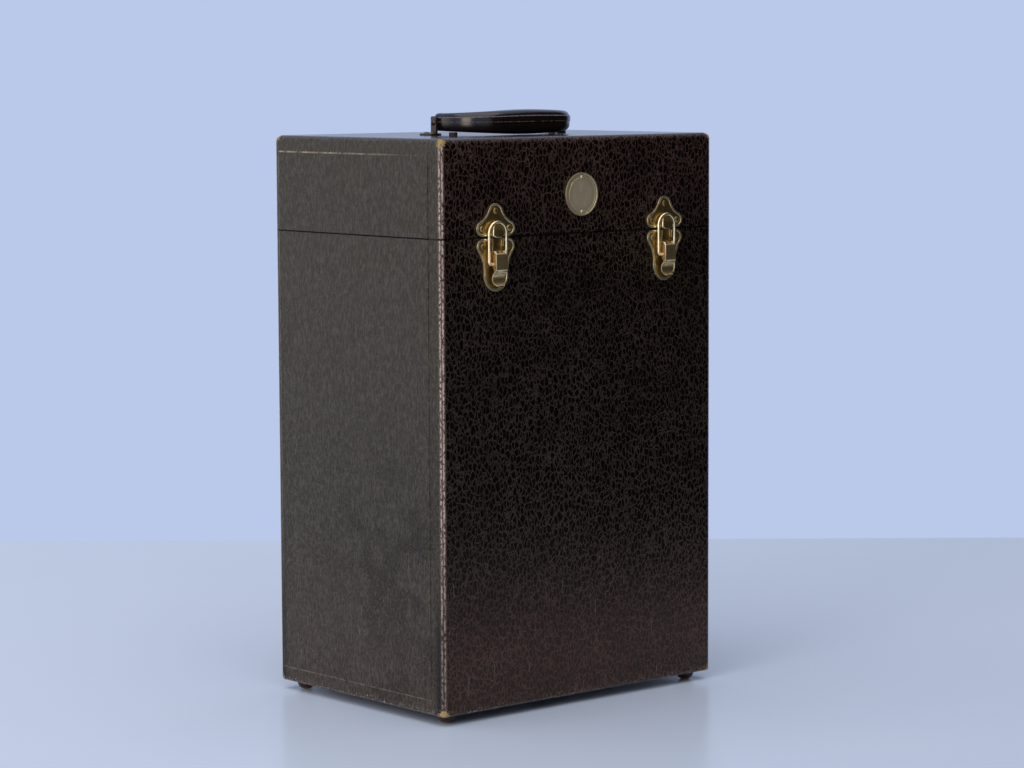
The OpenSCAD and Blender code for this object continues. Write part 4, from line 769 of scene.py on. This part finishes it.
def moulded_half(name, outline):
    """Draws an outline of the grip along the handle's line, smaller towards the arms."""
    bpy.ops.object.select_all(action="DESELECT")
    shape = bpy.data.curves.new(name + "_outline", "CURVE")
    run = shape.splines.new("POLY")
    run.points.add(len(outline) - 1)
    for point, (across, up) in zip(run.points, outline):
        point.co = (across * MM, up * MM, 0, 1)
    run.use_cyclic_u = True
    profile = bpy.data.objects.new(name + "_outline", shape)
    bpy.context.scene.collection.objects.link(profile)
    path = bpy.data.curves.new(name, "CURVE")
    path.dimensions, path.twist_mode = "3D", "Z_UP"
    path.bevel_mode, path.bevel_object, path.use_fill_caps = "OBJECT", profile, True
    stops = [0.0, 0.25, 0.7, 1.3, 2.2, 3.2, END]
    stops += [END + (HALF - END) * i / STEPS for i in range(1, STEPS + 1)]
    stops += [2 * HALF - s for s in reversed(stops[:-1])]
    line = path.splines.new("POLY")
    line.points.add(len(stops) - 1)
    for point, s in zip(line.points, stops):
        x, y = handle_place(s)
        t = min(s, 2 * HALF - s)
        end = 1 if t >= END else TIP + (1 - TIP) * math.sqrt(1 - (1 - t / END) ** 2)
        point.co = (x * MM, y * MM, 0, 1)
        point.radius = swell(s, ARM_W, GRIP_W) / GRIP_W * end
    half = bpy.data.objects.new(name, path)
    bpy.context.scene.collection.objects.link(half)
    bpy.context.view_layer.objects.active = half
    half.select_set(True)
    bpy.ops.object.convert(target="MESH")
    half = bpy.context.object
    bpy.data.objects.remove(profile)
    rise = half.data.attributes.new("rise", "FLOAT", "POINT")
    for vertex in half.data.vertices:
        s = handle_length(vertex.co.x / MM, vertex.co.y / MM)
        vertex.co.z *= swell(s, ARM_H, GRIP_H) / swell(s, ARM_W, GRIP_W) * GRIP_W / GRIP_H
        rise.data[vertex.index].value = vertex.co.z / MM * GRIP_H / swell(s, ARM_H, GRIP_H)
        vertex.co.z += HINGE_Z * MM
    bpy.ops.object.mode_set(mode="EDIT")
    bpy.ops.mesh.select_all(action="SELECT")
    bpy.ops.mesh.remove_doubles(threshold=0.005 * MM)
    bpy.ops.mesh.normals_make_consistent(inside=False)
    bpy.ops.object.mode_set(mode="OBJECT")
    bpy.ops.object.shade_smooth_by_angle(angle=math.radians(32))
    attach(half, "handle")
    return half


def rounded(a, width, height):
    """A point on the rounded section, a from 0 to 180 degrees round it."""
    c, s = math.cos(math.radians(a)), math.sin(math.radians(a))
    return math.copysign(abs(c) ** SQUARE, c) * width, s ** SQUARE * height


# Moulded handle stock is black brown and glossy, with its moulding edges rubbed pale and dull.
handle_black, tree, shader = new_finish("glossy_moulded_handle")
place = add(tree, "TexCoord").outputs["Object"]
size = add(tree, "VectorMath", {0: place, 1: (1000, 1000, 1000)}, operation="MULTIPLY")
smear = add(tree, "TexNoise", {"Vector": size, "Scale": 1 / 9, "Detail": 4.0, "Roughness": 0.6})
scuff = add(tree, "TexNoise", {"Vector": size, "Scale": 1 / 2.4, "Detail": 5.0, "Roughness": 0.7})
near = []
rise = add(tree, "Attribute", attribute_name="rise")
for at in (0.25, 4.9):
    off = add(tree, "Math", {0: rise.outputs["Fac"], 1: at}, operation="SUBTRACT")
    gap = add(tree, "Math", {0: off}, operation="ABSOLUTE")
    near.append(add(tree, "MapRange", {"Value": gap, "From Min": 0.6, "From Max": 0.15}))
seam = add(tree, "Math", {0: near[0], 1: near[1]}, operation="MAXIMUM")
patchy = add(tree, "MapRange", {"Value": scuff, "From Min": 0.4, "From Max": 0.62})
rub = add(tree, "Math", {0: seam, 1: patchy}, operation="MULTIPLY")
tone = add(tree, "Mix", {0: smear, 6: "#0e0a0d", 7: "#1f171a"}, data_type="RGBA")
rubbed = add(tree, "Mix", {0: rub, 6: tone, 7: "#77695f"}, data_type="RGBA")
shine = add(tree, "MapRange", {"Value": smear, "To Min": 0.13, "To Max": 0.3})
dull = add(tree, "Mix", {0: rub, 2: shine, 3: 0.55})
bump = add(tree, "Bump", {"Height": scuff, "Strength": 0.06, "Distance": 0.2 * MM})
feed(shader, {"Base Color": rubbed, "Roughness": dull, "Normal": bump})

band = [(GRIP_W, 0.03), (GRIP_W, 2.2), (GRIP_W - 0.08, 3.9), (GRIP_W - 0.35, 4.7),
        (GRIP_W - 0.8, 5.0)]
crown = [rounded(a, GRIP_W - 0.8, GRIP_H) for a in range(25, 156, 5)]
belly = [rounded(a, GRIP_W - 0.7, GRIP_H) for a in range(0, 181, 5)]
upper = moulded_half("handle_crown", band + crown + [(-x, y) for x, y in reversed(band)])
lower = moulded_half("handle_belly", [(x, -y) for x, y in belly])
for half, node in ((upper, "handle_upper_half"), (lower, "handle_lower_half")):
    half.data.materials.append(handle_black)
    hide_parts(node)

# Table, light and camera
# A plain pale table with a soft gleam in a pale surround, lit by a broad sky, a window on the left
# and a soft box beside the camera. A dark card on the right keeps the front's reflections deep.

# the camera's turns, fitted to the edges of the box in the photograph, and what the lamps aim at
VIEW, PITCH, ROLL = (math.radians(a) for a in (40.9, 90 - 5.909, -0.258))
MIDDLE = Vector((0, 0, 0.25))


def beside(right, ahead, up):
    """A place by how far it lies right of and behind the case, seen from the camera."""
    c, s = math.cos(VIEW), math.sin(VIEW)
    return Vector((right * c + ahead * s, ahead * c - right * s, up))


def stage_plane(name, corners):
    """A flat stage piece between four corners."""
    bpy.ops.object.select_all(action="DESELECT")
    bpy.ops.mesh.primitive_plane_add(size=1)
    piece = bpy.context.object
    piece.name = piece.data.name = name
    for vertex, place in zip(piece.data.vertices, corners):
        vertex.co = place
    return piece


# the table ends just right of the picture, so that only the foot of the front mirrors it, and lies
# a hair under the feet
table = stage_plane("table", [beside(x, y, -0.2 * MM) for y in (-0.9, 0.75) for x in (-3.4, 0.58)])
# Polished pale stone, plain: nearly white with a soft gleam.
stone, tree, shader = new_finish("pale_table")
place = add(tree, "TexCoord").outputs["Object"]
cloud = add(tree, "TexNoise", {"Vector": place, "Scale": 3.0, "Detail": 3.0})
tone = add(tree, "Mix", {0: cloud, 6: "#c5d8ff", 7: "#cadcff"}, data_type="RGBA")
feed(shader, {"Base Color": tone, "Roughness": 0.24, "Specular IOR Level": 0.06})
table.data.materials.append(stone)

# Black card is matt and takes no light.
card = stage_plane("dark_card", [beside(1.9, y, z) for z in (-2.2, 3.0) for y in (-3.2, 2.0)])
black, tree, shader = new_finish("black_card")
feed(shader, {"Base Color": "#0c0b0b", "Roughness": 0.9})
card.data.materials.append(black)
card.visible_camera = False

world = bpy.data.worlds.new("pale_surround")
bpy.context.scene.world = world
world.use_nodes = True
tree = world.node_tree
shown = tree.nodes["Background"]
# the surround is seen and mirrored pale, and lights the case only faintly
rays = add(tree, "LightPath").outputs
seen = add(tree, "Math", {0: rays["Is Camera Ray"], 1: rays["Is Glossy Ray"]}, operation="MAXIMUM")
through = add(tree, "Math", {0: seen, 1: rays["Is Transmission Ray"]}, operation="MAXIMUM")
glow = add(tree, "Mix", {0: through, 6: [0.2, 0.2, 0.2, 1], 7: "#bac9ea"}, data_type="RGBA")
feed(shown, {"Color": glow})

bpy.ops.object.light_add(type="SUN", location=(-2, 1, 2.4))
sky = bpy.context.object
sky.name = sky.data.name = "broad_sky"
sky.data.energy = 2.15
sky.data.angle = math.radians(90)
sky.data.color = linear("#fff6e6")[:3]
sky.rotation_euler = Vector((-0.22, -0.22, 0.95)).to_track_quat("Z", "Y").to_euler()


def soft_box(name, place, aim, wide, tall, power, colour):
    """A rectangular lamp that faces a point."""
    bpy.ops.object.light_add(type="AREA", location=place)
    lamp = bpy.context.object
    lamp.name = lamp.data.name = name
    lamp.data.shape = "RECTANGLE"
    lamp.data.size, lamp.data.size_y, lamp.data.energy = wide, tall, power
    lamp.data.color = linear(colour)[:3]
    lamp.rotation_euler = (place - aim).to_track_quat("Z", "Y").to_euler()
    return lamp


window = soft_box("window", beside(-2.3, 0.42, 0.55), MIDDLE, 1.8, 1.1, 5, "#ffe6ba")
strip = soft_box("strip_light", beside(-1.3, -2.1, 0.8), MIDDLE, 1.0, 1.3, 20, "#ffedd8")
for lamp in (sky, window, strip):
    lamp.visible_camera = False

bpy.ops.object.camera_add(location=(-1.5866, -1.8519, 0.4933))
camera = bpy.context.object
camera.name = camera.data.name = "camera"
camera.rotation_mode = "QUATERNION"
camera.rotation_quaternion = (Matrix.Rotation(-VIEW, 3, "Z") @ Matrix.Rotation(PITCH, 3, "X")
                              @ Matrix.Rotation(ROLL, 3, "Z")).to_quaternion()
camera.data.lens = 108.58
camera.data.sensor_width = 36
bpy.context.scene.camera = camera
bpy.context.scene.view_settings.view_transform = "Standard"
